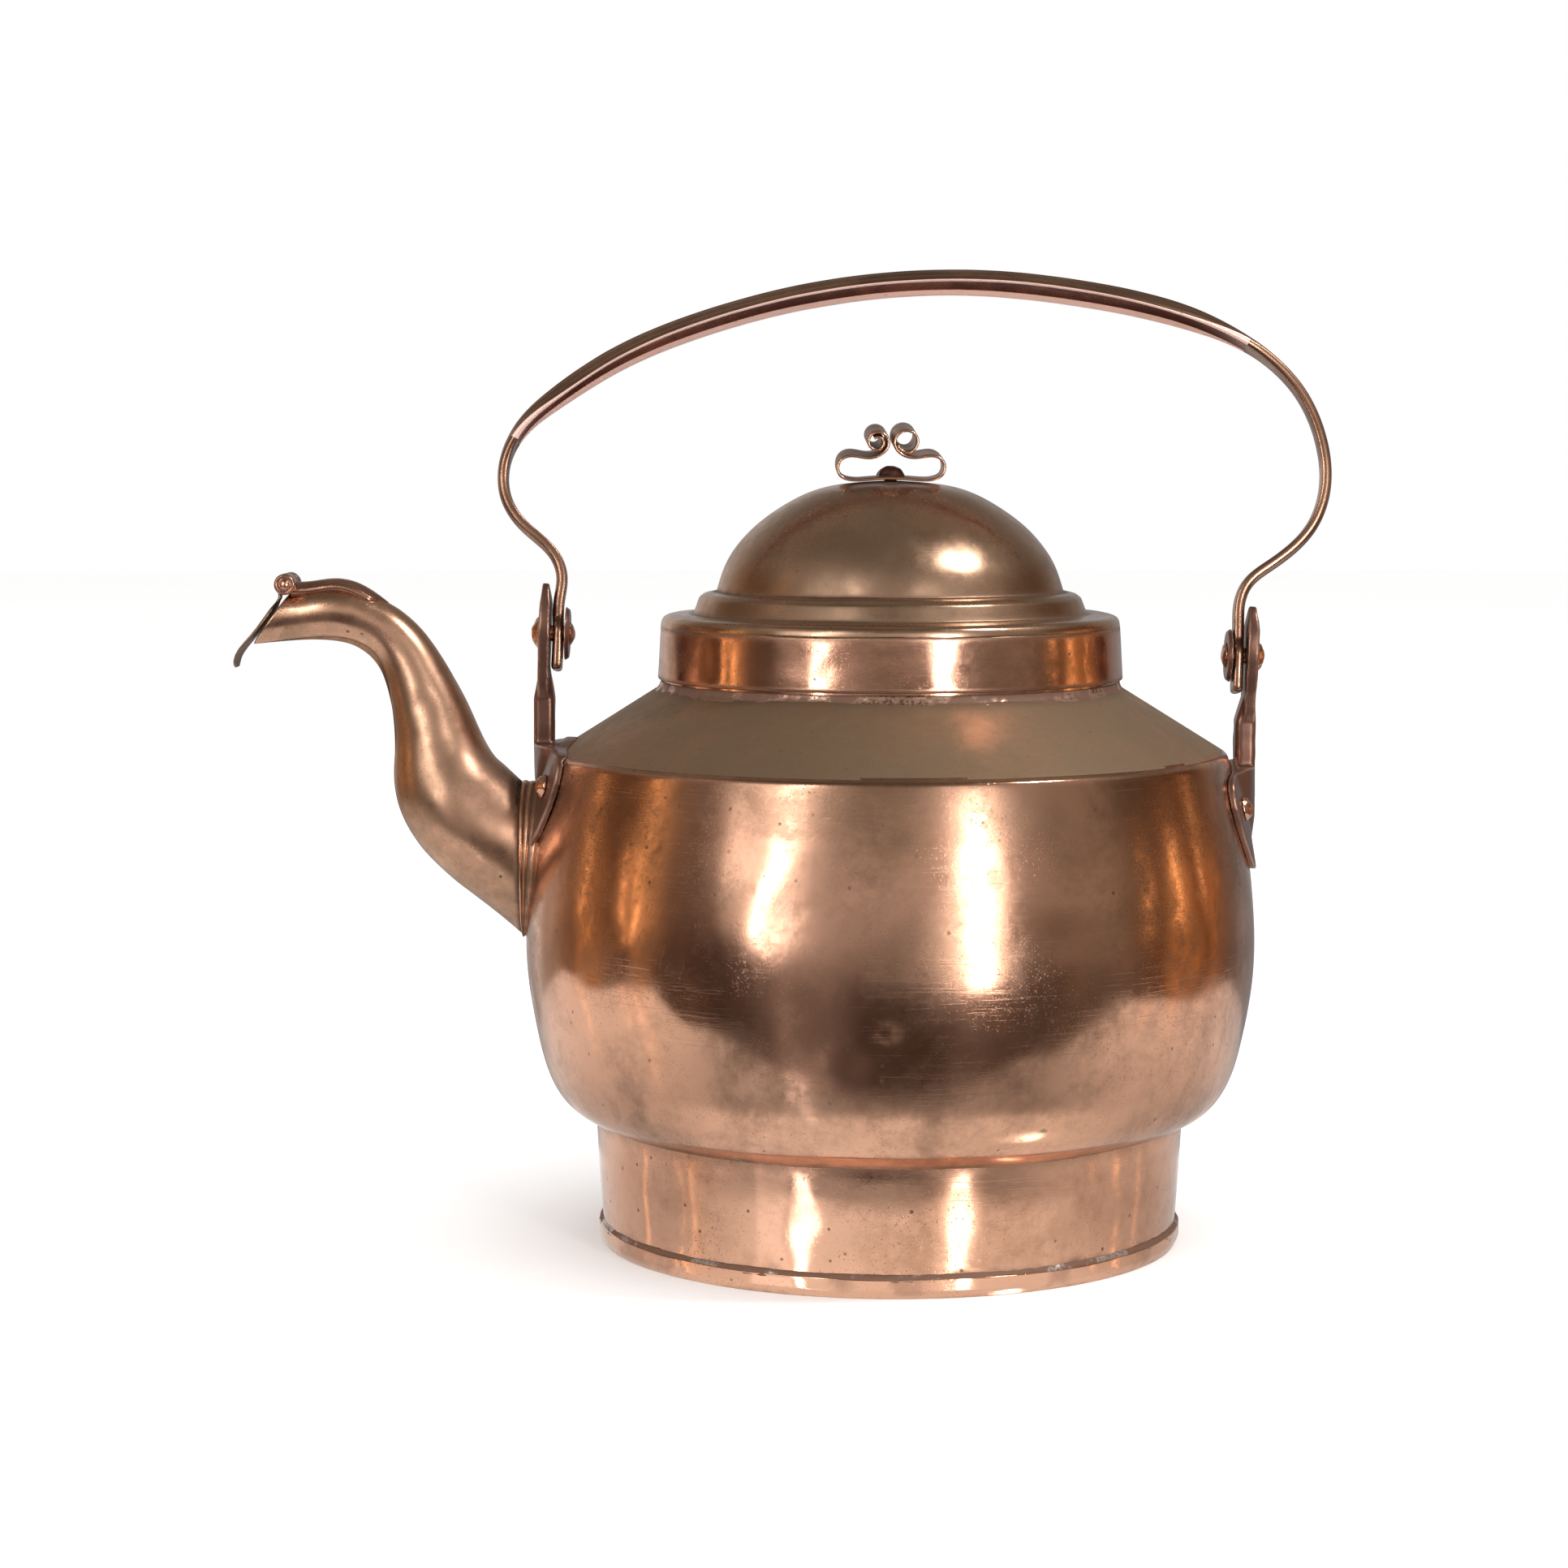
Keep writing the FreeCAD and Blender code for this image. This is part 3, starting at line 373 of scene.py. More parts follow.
def dents(points, places):
    """Hollows (below 0) and bumps: (point, radius, depth) each, as a soft round mark."""
    total = np.zeros(len(points))
    for place, radius, depth in places:
        away = away_from(place, points) / radius
        total += depth * np.exp(-away ** 2 * 2.0)
    return total


def on_wall(azimuth, height, radius):
    """A point on the kettle's wall: azimuth 0 faces -Y and 90 faces +X."""
    a = math.radians(azimuth)
    return radius * math.sin(a), -radius * math.cos(a), height


def reworked(node, voxel, rounds, rough, seed, size):
    """A CAD node as hand-forged metal: remeshed, its edges rounded, its faces hammered.

    Gives points in millimetres, faces, and marks for its material.
    """
    source = frame["nodes"][node]
    worker = bpy.data.objects.new("worker", source.data.copy())
    bpy.context.scene.collection.objects.link(worker)
    remesh = worker.modifiers.new("remesh", "REMESH")
    remesh.mode = "VOXEL"
    remesh.voxel_size = voxel * MM
    soft = worker.modifiers.new("soft", "SMOOTH")
    soft.factor = 0.5
    soft.iterations = rounds
    bpy.context.view_layer.update()
    made = bpy.data.meshes.new_from_object(worker.evaluated_get(bpy.context.evaluated_depsgraph_get()))
    bpy.data.objects.remove(worker)
    count = len(made.vertices)
    points = np.empty(count * 3)
    made.vertices.foreach_get("co", points)
    points = points.reshape(-1, 3) / MM
    normals = np.empty(count * 3)
    made.vertices.foreach_get("normal", normals)
    normals = normals.reshape(-1, 3)
    edges = np.array([tuple(edge.vertices) for edge in made.edges])
    mean = np.zeros_like(points)
    valence = np.bincount(edges.ravel(), minlength=count)[:, None]
    np.add.at(mean, edges[:, 0], points[edges[:, 1]])
    np.add.at(mean, edges[:, 1], points[edges[:, 0]])
    bulge = ((points - mean / valence) * normals).sum(1) / voxel
    faces = [list(face.vertices) for face in made.polygons]
    bpy.data.meshes.remove(made)
    points = points + normals * (lumps(points, size, seed) * rough)[:, None]
    marks = {"worn": smoothstep(0.02, 0.12, bulge), "grime": smoothstep(-0.02, -0.12, bulge)}
    return points, faces, marks


def forge(name, node, body, material, how, worn=1.0, grime=1.0, draw=None):
    """A CAD node reworked as how says: (voxel, rounds, rough, seed, size).

    worn and grime are shares of its marks, and draw is a last change to its points.
    """
    points, faces, marks = reworked(node, *how)
    if draw:
        draw(points)
    marks = {"worn": marks["worn"] * worn, "grime": marks["grime"] * grime}
    make_piece(name, points, faces, body, [node], material, marks)


# ---------------------------------------------------------------- materials


class Nodes:
    """A node tree built by calls, whose inputs are numbers, colours or other nodes' sockets."""

    def __init__(self, tree):
        self.tree = tree
        tree.nodes.clear()

    def put(self, kind, settings=None, **inputs):
        made = self.tree.nodes.new("ShaderNode" + kind)
        for key, value in (settings or {}).items():
            setattr(made, key, value)
        for key, value in inputs.items():
            place = int(key[2:]) if key.startswith("in") else key.replace("_", " ")
            socket = made.inputs[place]
            if isinstance(value, bpy.types.NodeSocket):
                self.tree.links.new(value, socket)
            elif socket.type == "RGBA":
                socket.default_value = (*value, 1)
            else:
                socket.default_value = value
        return made

    def math(self, operation, a, b=0.0, clamp=False):
        return self.put("Math", {"operation": operation, "use_clamp": clamp}, in0=a, in1=b).outputs[0]

    def times(self, a, b, clamp=False):
        return self.math("MULTIPLY", a, b, clamp)

    def plus(self, a, b, clamp=False):
        return self.math("ADD", a, b, clamp)

    def less(self, a, b, clamp=False):
        return self.math("SUBTRACT", a, b, clamp)

    def mix(self, share, a, b):
        return self.put("Mix", {"data_type": "RGBA"}, in0=share, in6=a, in7=b).outputs[2]

    def blend(self, share, a, b):
        return self.put("Mix", {"data_type": "FLOAT"}, in0=share, in2=a, in3=b).outputs[0]

    def noise(self, vector, scale, detail=2.0, rough=0.5, distortion=0.0):
        return self.put("TexNoise", Vector=vector, Scale=scale, Detail=detail, Roughness=rough,
                        Distortion=distortion).outputs["Fac"]

    def stretch(self, vector, scale, turn=(0, 0, 0)):
        return self.put("Mapping", Vector=vector, Scale=scale, Rotation=turn).outputs[0]

    def step(self, value, low, high):
        return self.put("MapRange", {"interpolation_type": "SMOOTHSTEP"}, Value=value, in1=low, in2=high,
                        in3=0.0, in4=1.0).outputs[0]

    def ramp(self, value, stops):
        made = self.put("ValToRGB", in0=value)
        bar = made.color_ramp
        while len(bar.elements) < len(stops):
            bar.elements.new(0.5)
        for element, (place, colour) in zip(bar.elements, stops):
            element.position = place
            element.color = (*colour, 1)
        return made.outputs[0]

    def mark(self, name):
        return self.put("Attribute", {"attribute_name": name}).outputs["Fac"]

    def surface(self, colour, **inputs):
        shader = self.put("BsdfPrincipled", Base_Color=colour, **inputs)
        output = self.put("OutputMaterial")
        self.tree.links.new(shader.outputs[0], output.inputs[0])


def new_material(name):
    """An empty material, its node builder, and the place on the piece as a socket."""
    material = bpy.data.materials.new(name)
    material.use_nodes = True
    n = Nodes(material.node_tree)
    return material, n, n.put("TexCoord").outputs["Object"]


COPPER = (0.83, 0.475, 0.325)
BROWN = (0.36, 0.205, 0.13)
OLIVE = (0.40, 0.28, 0.185)
# the dark colour of dirt, also used for painted shade
DIRT_AND_SHADE_COLOUR = (0.055, 0.03, 0.02)


def copper(name, level, gloss, dull, clean=COPPER, tarnish=BROWN, grain=1.0, brush=1.0,
           pits=1.0, verdigris=0.0, fade=None, metal=1.0):
    """Old copper: worn polish over a brown patina, with specks, pits, scratches, and dirt that on some
    pieces also holds painted shade.

    level is the share of patina. gloss and dull are the roughness of the clean and the tarnished
    metal. grain, brush and pits are shares of the usual roughness, scratches and specks. fade is
    (low z, high z, extra patina) for a change with height. metal below 1 is for an oxidised skin
    that scatters light as well as mirroring it, and on the grip's edges for a painted pale sheen.
    """
    material, n, at = new_material(name)
    clouds = n.noise(at, 26, 5, 0.62, 0.4)
    mottle = n.noise(at, 210, 4, 0.7)
    patch = n.plus(n.times(clouds, 0.75), n.times(mottle, 0.25))
    centre = 0.78 - 0.56 * level
    patina = n.step(patch, centre - 0.16, centre + 0.16)
    if fade:
        height = n.put("SeparateXYZ", Vector=at).outputs["Z"]
        rise = n.step(height, fade[0] * MM, fade[1] * MM)
        patina = n.plus(patina, n.times(rise, fade[2]), clamp=True)
    worn = n.mark("worn")
    patina = n.less(patina, n.times(worn, 0.9), clamp=True)
    grime = n.mark("grime")

    tint = n.noise(at, 9, 3, 0.5)
    redder = (clean[0] * 0.97, clean[1] * 0.93, clean[2] * 0.88)
    warm = n.mix(n.step(tint, 0.3, 0.7), clean, redder)
    colour = n.mix(patina, warm, tarnish)
    speckle = n.noise(at, 1250, 3, 0.75)
    where = n.step(n.noise(at, 38, 3, 0.6), 0.42, 0.66)
    dots = n.times(n.step(speckle, 0.585, 0.66), n.blend(where, 0.10 * pits, 0.55 * pits))
    spots = n.put("TexVoronoi", {"feature": "F1"}, Vector=at, Scale=190.0, Randomness=1.0)
    few = n.step(n.put("SeparateColor", Color=spots.outputs["Color"]).outputs[0], 0.80, 0.84)
    round_spot = n.times(n.step(spots.outputs["Distance"], 0.16, 0.08), few)
    dots = n.math("MAXIMUM", dots, n.times(round_spot, 0.6 * pits))
    colour = n.mix(dots, colour, (0.13, 0.068, 0.042))

    lines = []
    turns = ((0.0, 0.0, 0.0), (0.0, 0.9, 0.3), (0.2, -0.7, 0.0))
    for k, turn in enumerate(turns):
        streak = n.noise(n.stretch(at, (38, 38, 2600), turn), 1.0, 2, 0.55)
        field = n.step(n.noise(at, 16 + 5 * k, 2, 0.5), 0.44, 0.70)
        lines.append(n.times(n.step(streak, 0.60, 0.72), field))
    scratches = n.math("MAXIMUM", lines[0], n.math("MAXIMUM", lines[1], lines[2]))

    # This mark darkens towards the dark colour: real dirt, and on some pieces painted shade.
    dirt_and_shade_share = n.times(grime, n.blend(mottle, 0.6, 1.15), clamp=True)
    colour = n.mix(dirt_and_shade_share, colour, DIRT_AND_SHADE_COLOUR)
    metallic = n.blend(dirt_and_shade_share, metal, 0.85 * metal)
    roughness = n.blend(patina, gloss, dull)
    roughness = n.plus(roughness, n.times(n.less(mottle, 0.5), 0.12))
    roughness = n.plus(roughness, n.times(scratches, 0.10 * brush))
    roughness = n.plus(roughness, n.times(dots, 0.25))
    roughness = n.blend(dirt_and_shade_share, roughness, 0.62)
    if verdigris:
        green = n.times(n.step(n.noise(at, 60, 2, 0.5), 0.755, 0.77), verdigris)
        green = n.times(green, n.step(n.noise(at, 300, 3, 0.7), 0.40, 0.55))
        colour = n.mix(green, colour, (0.085, 0.10, 0.05))
        metallic = n.blend(green, metallic, 0.1)
        roughness = n.blend(green, roughness, 0.8)

    fine = n.noise(at, 1700, 3, 0.7)
    height = n.plus(n.times(fine, 0.35 * grain), n.times(mottle, 0.9 * grain))
    height = n.less(height, n.times(scratches, 0.35 * brush))
    height = n.less(height, n.times(dots, 0.8))
    bump = n.put("Bump", Strength=0.55, Distance=0.000035, Height=height)
    n.surface(colour, Metallic=metallic, Roughness=roughness, Normal=bump.outputs[0])
    return material


def solder(name, light, dark, share):
    """Lumpy old solder: dull grey, with dirt in its hollows and shiny bare spots."""
    material, n, at = new_material(name)
    broken = n.step(n.noise(at, 45, 4, 0.6), 0.62 - 0.3 * share, 0.70 - 0.3 * share)
    flecks = n.noise(at, 900, 3, 0.7)
    bare = n.times(broken, n.step(flecks, 0.36, 0.55))
    colour = n.mix(bare, dark, light)
    roughness = n.blend(bare, 0.6, 0.24)
    metallic = n.blend(bare, 0.35, 1.0)
    bump = n.put("Bump", Strength=0.8, Distance=0.00012, Height=n.noise(at, 650, 4, 0.7))
    n.surface(colour, Metallic=metallic, Roughness=roughness, Normal=bump.outputs[0])
    return material


def tin(name):
    """The grey tinned inside."""
    material, n, at = new_material(name)
    wipe = n.noise(n.stretch(at, (20, 20, 90)), 1.0, 4, 0.6)
    colour = n.mix(n.step(wipe, 0.35, 0.75), (0.52, 0.51, 0.49), (0.30, 0.25, 0.22))
    scale = n.step(n.noise(at, 120, 4, 0.7), 0.55, 0.72)
    colour = n.mix(n.times(scale, 0.6), colour, (0.55, 0.50, 0.43))
    bump = n.put("Bump", Strength=0.6, Distance=0.0001, Height=n.noise(at, 500, 3, 0.6))
    n.surface(colour, Metallic=n.blend(scale, 0.9, 0.3), Roughness=n.blend(scale, 0.42, 0.7),
              Normal=bump.outputs[0])
    return material


BARREL_COPPER = copper("aged_copper_barrel", level=0.42, gloss=0.12, dull=0.27, verdigris=0.8,
                       tarnish=(0.38, 0.215, 0.14), fade=(125, 168, 0.45))
SHOULDER_COPPER = copper("tarnished_copper", clean=(0.58, 0.37, 0.24), tarnish=OLIVE, level=0.68,
                         gloss=0.46, dull=0.60, pits=0.5, brush=0.7)
BASE_COPPER = copper("polished_copper_base", clean=(0.84, 0.485, 0.335), tarnish=(0.48, 0.25, 0.155),
                     level=0.34, gloss=0.07, dull=0.15, pits=1.3, verdigris=0.4)
NECK_COPPER = copper("polished_copper_neck", level=0.40, gloss=0.10, dull=0.26, brush=0.4, grain=1.4,
                     clean=(0.80, 0.45, 0.31), tarnish=(0.36, 0.19, 0.125))
LID_COPPER = copper("tarnished_copper_lid", clean=(0.66, 0.42, 0.29), tarnish=(0.40, 0.26, 0.17),
                    level=0.50, gloss=0.20, dull=0.32, pits=0.6, brush=0.4, grain=0.7)
SPOUT_COPPER = copper("satin_copper_spout", clean=(0.78, 0.46, 0.315), tarnish=(0.42, 0.255, 0.165),
                      level=0.50, gloss=0.25, dull=0.38, pits=1.2, grain=1.0, brush=0.5)
STRAP_COPPER = copper("red_brown_copper_strap", clean=(0.60, 0.33, 0.235), tarnish=(0.23, 0.10, 0.07),
                      level=0.62, gloss=0.24, dull=0.36, grain=1.5)
FLAP_COPPER = copper("dark_copper_flap", clean=(0.40, 0.27, 0.20), tarnish=(0.26, 0.16, 0.11), level=0.6,
                     gloss=0.30, dull=0.45)
HANDLE_COPPER = copper("brown_copper_handle", clean=(0.56, 0.32, 0.22), tarnish=(0.25, 0.135, 0.088),
                       level=0.55, gloss=0.20, dull=0.30, pits=0.3, brush=0.2, grain=0.3)
# Painted pale sheen for the grip's edges: light colour and little metal, so the white room lights them
# pale.
GRIP_EDGE_PAINTED_SHEEN = copper("pale_rubbed_copper", clean=(0.76, 0.50, 0.43), tarnish=(0.60, 0.37, 0.30),
                          level=0.25, gloss=0.34, dull=0.42, pits=0.4, brush=0.3, grain=0.5, metal=0.35)
# Painted shade for the grip's hollow underside: a darker, redder copy of the handle's copper.
GRIP_HOLLOW_PAINTED_SHADE = copper("dark_red_copper", clean=(0.42, 0.17, 0.12), tarnish=(0.15, 0.055, 0.04),
                            level=0.62, gloss=0.18, dull=0.30, pits=0.6, brush=0.3, grain=0.6, metal=0.85)
KNOB_COPPER = copper("copper_knob", clean=(0.74, 0.45, 0.32), tarnish=(0.34, 0.22, 0.16), level=0.60,
                     gloss=0.22, dull=0.40, brush=0.3)
RIVET_COPPER = copper("hammered_copper_rivet", clean=(0.80, 0.44, 0.31), tarnish=(0.36, 0.18, 0.12),
                      level=0.42, gloss=0.20, dull=0.34, grain=2.0)
LUG_COPPER = copper("dark_forged_copper", clean=(0.55, 0.36, 0.28), tarnish=(0.21, 0.105, 0.075),
                    level=0.86, gloss=0.26, dull=0.32, grain=2.2, brush=0.5, metal=0.86)
RIM_SOLDER = solder("grimy_solder", (0.66, 0.60, 0.56), (0.17, 0.088, 0.055), 0.30)
NECK_SOLDER = solder("coppery_solder", (0.56, 0.35, 0.25), (0.16, 0.08, 0.05), 0.42)
INSIDE_TIN = tin("worn_tin_inside")

# ---------------------------------------------------------------- body


def barrel_shift(points):
    """The barrel's hand-made waviness, and its larger dents."""
    wave = 0.34 * lumps(points, 62.0, 3) + 0.07 * lumps(points, 19.0, 9)
    high = smoothstep(SHOULDER_EDGE_Z - 17.4, SHOULDER_EDGE_Z - 2.4, points[:, 2])
    places = [
        (on_wall(-17, 128, 124), 16.0, -0.55),
        (on_wall(-26, 118, 124), 13.0, 0.30),
        (on_wall(-33, 100, 124), 15.0, -0.50),
        (on_wall(-2, 90, 124), 6.0, -1.15),
        (on_wall(-7, 80, 122), 8.0, -0.24),
        (on_wall(19, 74, 121), 10.0, -0.25),
        (on_wall(24, 118, 124), 12.0, -0.18),
        (on_wall(48, 105, 124), 13.0, -0.30),
        (on_wall(56, 112, 124), 11.0, 0.24),
        (on_wall(-44, 112, 124), 10.0, 0.35),
        (on_wall(-52, 104, 124), 12.0, -0.30),
    ]
    low = smoothstep(52.0, 43.0, points[:, 2])
    angle = np.arctan2(points[:, 1], points[:, 0])
    seam = 0.5 * np.sin(angle * 3 + 0.6) + 0.4 * np.sin(angle * 5 + 2.0)
    return wave * (1 - 0.6 * high) + dents(points, places) + 0.12 * low * seam


def build_barrel():
    """The bulged barrel with its conical shoulder."""
    line = outline([BARREL, SHOULDER], 1.3, 1.2)
    turns = 400
    points, faces = spun(line, SHEET, turns, barrel_shift)
    r = np.hypot(points[:, 0], points[:, 1])
    z = points[:, 2]
    inside = z * 0
    loop_rows = len(points) // turns
    inner_from = len(line) + 3
    rows = np.repeat(np.arange(loop_rows), turns)
    inside[(rows >= inner_from) & (rows < inner_from + len(line))] = 1
    seam = smoothstep(46.0, 43.6, z) * (1 - inside) * 0.5
    neck = smoothstep(83.5, 79.0, r) * (z > 180) * 0.35
    # Painted dark reflection: the front of the barrel darkens round this spot, as if it mirrored the dark
    # room in front.
    from_painted_dark_reflection = away_from(on_wall(-2, 116, 124), points) + 7.0 * lumps(points, 17.0, 7, 3)
    grime = seam + neck + 0.12 * lumps(points, 2.5, 5) * (seam > 0.05)
    grime = grime + 0.22 * smoothstep(30.0, 8.0, from_painted_dark_reflection)
    edge = np.exp(-((z - SHOULDER_EDGE_Z + 0.4) / 1.2) ** 2) * (r > 112) * 0.55
    worn = edge * (0.6 + 0.4 * lumps(points, 14.0, 21)) * (1 - inside)
    piece = make_piece("barrel", points, faces, "kettle_body", ["barrel_shell"],
                       BARREL_COPPER, {"grime": grime, "worn": worn})
    face_rows = np.array([face[0] for face in faces]) // turns
    heights = z[[face[0] for face in faces]]
    index = np.where(heights > SHOULDER_EDGE_Z + 1, 1, 0)
    index[(face_rows >= inner_from - 1) & (face_rows < inner_from + len(line))] = 2
    paint_faces(piece, [SHOULDER_COPPER, INSIDE_TIN], index)


def base_shift(points):
    """Waviness of the base's wall, with a few dents."""
    places = [
        (on_wall(-8.5, 14, 99), 9.0, -0.45),
        (on_wall(-17, 22, 99), 12.0, -0.35),
        (on_wall(12, 26, 100), 12.0, -0.25),
        (on_wall(44, 20, 100), 12.0, -0.25),
        (on_wall(-50, 24, 100), 14.0, -0.25),
    ]
    fade = smoothstep(3.0, 8.0, points[:, 2])
    wave = 0.24 * lumps(points, 46.0, 14) + 0.05 * lumps(points, 15.0, 17)
    return (wave + dents(points, places)) * fade


def build_base():
    """The cylinder that drops into the stove, with the dirt over its rim."""
    runs = [[(BASE_R - SHEET, SHEET), (BASE_R - SHEET, 9.0)], [(BASE_R - SHEET, 9.0), (BASE_R, 27.0)],
            [(BASE_R, 27.0), (BARREL_HOLE_R - 0.05, BASE_TOP_Z)]]
    line = outline(runs, 2.5, 0.8)
    points, faces = spun(line, SHEET, 360, base_shift)
    z = points[:, 2]
    patchy = 0.7 + 0.5 * lumps(points, 24.0, 37)
    grime = 0.60 * smoothstep(9.5, 6.5, z + 1.5 * lumps(points, 7.0, 31, 3)) * patchy
    grime += 0.35 * smoothstep(38.5, 42.8, z + 1.2 * lumps(points, 9.0, 33, 3))
    make_piece("base_wall", points, faces, "kettle_body", ["base_ring"], BASE_COPPER,
               {"grime": grime})


def build_bottom():
    """The bottom plate, its edge turned up as a rim."""
    inside = BASE_R - SHEET + 0.02
    runs = [[(0.0, 0.0), (60.0, 0.0), (BASE_R - 1.0, 0.0)], [(BASE_R - 1.0, 0.0), (BASE_R + 0.1, 2.6)],
            [(BASE_R + 0.1, 2.6), (BASE_R + 0.15, RIM_H)], [(BASE_R + 0.15, RIM_H), (inside, RIM_H)],
            [(inside, RIM_H), (inside, SHEET)], [(inside, SHEET), (60.0, SHEET), (0.0, SHEET)]]
    line = outline(runs, 0.35, 1.6)
    turns = 360
    angles = round_angles(turns)
    ring = np.stack([np.cos(angles), np.sin(angles)], 1)
    flat = line[:, None, :1] * ring[None]
    points = np.concatenate([flat, np.repeat(line[:, None, 1:], turns, axis=1)], 2).reshape(-1, 3)
    r = np.hypot(points[:, 0], points[:, 1])
    edge = smoothstep(BASE_R - 6, BASE_R - 0.5, r) * smoothstep(0.4, 2.0, points[:, 2])
    push = 0.16 * lumps(points, 17.0, 41, 3) * edge
    points[:, :2] *= (1 + push / np.maximum(r, 1))[:, None]
    points[:, 2] += 0.28 * lumps(points, 30.0, 43) * smoothstep(4.0, RIM_H, points[:, 2])
    grime = 0.35 * smoothstep(0.1, 0.7, lumps(points, 10.0, 47, 3)) * edge
    grime += smoothstep(80.0, 20.0, r) * 0.3 * (points[:, 2] < 0.5) + (points[:, 2] < 0.3) * 0.35
    faces = quads_of(len(line), turns, False, True).tolist()
    make_piece("bottom_plate", points, faces, "kettle_body", ["bottom_plate"],
               BASE_COPPER, {"grime": grime, "worn": 0.6 * edge})


def build_ring_of_solder(name, line, lumpiness, seed, node, material):
    """A lumpy bead of solder round the kettle, from its outer outline."""
    def shift(points):
        return lumpiness * lumps(points, 3.2, seed, 3) + lumpiness * lumps(points, 14.0, seed + 5)

    points, faces = spun(line, 0.8, 720, shift)
    make_piece(name, points, faces, "kettle_body", [node], material)


def build_solder():
    """The beads over the base's rim and round the neck."""
    inside = BASE_R - SHEET
    rim = outline([[(BASE_R + 0.05, RIM_H - 0.6), (BASE_R - 0.25, RIM_H + 0.35),
                    (inside + 0.1, RIM_H + 1.5)]], 0.3, 0.5)
    build_ring_of_solder("rim_solder", rim, 0.16, 51, "base_solder_bead", RIM_SOLDER)
    neck = outline([[(NECK_R + 2.4, 188.95), (NECK_R + 1.1, 190.1), (NECK_R + 0.35, 192.0)]], 0.4, 0.4)
    build_ring_of_solder("neck_solder", neck, 0.15, 57, "neck_solder_fillet", NECK_SOLDER)


def build_neck():
    """The upright neck under the lid."""
    line = outline([[(NECK_R, NECK_Z[0]), (NECK_R, SKIRT_FOOT[1] - 1)],
                    [(NECK_R, SKIRT_FOOT[1] - 1), (NECK_TOP_R, NECK_Z[1])]], 1.0, 1.0)
    points, faces = spun(line, LID_SHEET, 300, lambda p: 0.05 * lumps(p, 40.0, 61))
    make_piece("neck", points, faces, "kettle_body", ["neck_collar"], NECK_COPPER)


# ---------------------------------------------------------------- lid


def lid_shift(points):
    """Small hammered unevenness of the dome."""
    places = [
        (on_wall(26, 236, 52), 8.0, -0.28),
        (on_wall(36, 243, 46), 5.0, -0.22),
        (on_wall(-22, 226, 58), 9.0, -0.20),
    ]
    return 0.16 * lumps(points, 30.0, 71) + 0.035 * lumps(points, 9.0, 73) + dents(points, places)


def build_lid():
    """The dome, its step and flange, and the soldered band under the flange."""
    rim_r, rim_z = SKIRT_TOP
    runs = [[(rim_r, rim_z), (rim_r - 0.2, rim_z + 1.8), (rim_r - 1.1, FLANGE_Z - 0.7),
             (rim_r - 3, FLANGE_Z)],
            [(rim_r - 3, FLANGE_Z), (STEP_R + 0.4, FLANGE_Z + 0.5)],
            [(STEP_R + 0.4, FLANGE_Z + 0.5), (STEP_R - 1.6, STEP_Z - 1.4)],
            [(STEP_R - 1.6, STEP_Z - 1.4), (STEP_R - 3.4, STEP_Z)],
            [(STEP_R - 3.4, STEP_Z), DOME[0]], DOME]
    line = outline(runs, 0.7, 1.1)
    points, faces = spun(line, LID_SHEET, 360, lid_shift)
    r = np.hypot(points[:, 0], points[:, 1])
    z = points[:, 2]
    # Dirt along the step's creases, darker round the knob, and a painted dark reflection on the dome's
    # front.
    creases_and_painted_shade = np.exp(-((r - DOME[0][0] - 0.4) / 0.9) ** 2) * np.exp(-((z - STEP_Z - 0.3) / 1.4) ** 2)
    creases_and_painted_shade += np.exp(-((r - STEP_R - 0.6) / 1.2) ** 2) * np.exp(-((z - FLANGE_Z - 0.4) / 1.2) ** 2) * 0.6
    creases_and_painted_shade += smoothstep(17.0, 9.0, r) * (z > 256) * 0.35
    # Painted dark reflection: the dome darkens round this spot, left of its front.
    from_painted_dark_spot = away_from(on_wall(-13, 238, 52), points) + 5.0 * lumps(points, 14.0, 79)
    creases_and_painted_shade += 0.42 * smoothstep(30.0, 6.0, from_painted_dark_spot)
    worn = np.exp(-((r - rim_r + 1.0) / 1.6) ** 2) * (z > 211) * 0.5
    make_piece("lid_dome", points, faces, "lid", ["lid_top"], LID_COPPER,
               {"grime": creases_and_painted_shade * 0.8, "worn": worn * (0.7 + 0.5 * lumps(points, 12.0, 77))})

    def skirt_shift(points):
        places = [(on_wall(-16, 201, 79), 7.0, -0.18), (on_wall(9, 199, 79), 8.0, 0.14),
                  (on_wall(-52, 200, 79), 9.0, -0.20), (on_wall(58, 202, 79), 8.0, -0.16)]
        return 0.13 * lumps(points, 26.0, 81) + 0.03 * lumps(points, 8.0, 83) + dents(points, places)

    line = outline([[SKIRT_FOOT, SKIRT_TOP]], 0.5, 0.7)
    points, faces = spun(line, LID_SHEET, 360, skirt_shift)
    z = points[:, 2]
    # A painted shadow line along the band's foot, and darker at its top under the flange.
    grime = 0.55 * smoothstep(1.3, 0.2, z - SKIRT_FOOT[1]) + 0.5 * smoothstep(208.6, 210.6, z)
    make_piece("lid_band", points, faces, "lid", ["lid_skirt"], NECK_COPPER,
               {"grime": grime})


def scroll(sweep, radius, tighten):
    """The right-hand scroll, winding in from its outer end through sweep degrees."""
    points = []
    start = -48
    for share in np.linspace(0, 1, int(sweep / 22)):
        angle = math.radians(start + sweep * share)
        r = radius * (1 - tighten * share)
        points.append((SCROLL_X - r * math.cos(angle), SCROLL_Z + r * math.sin(angle)))
    return points


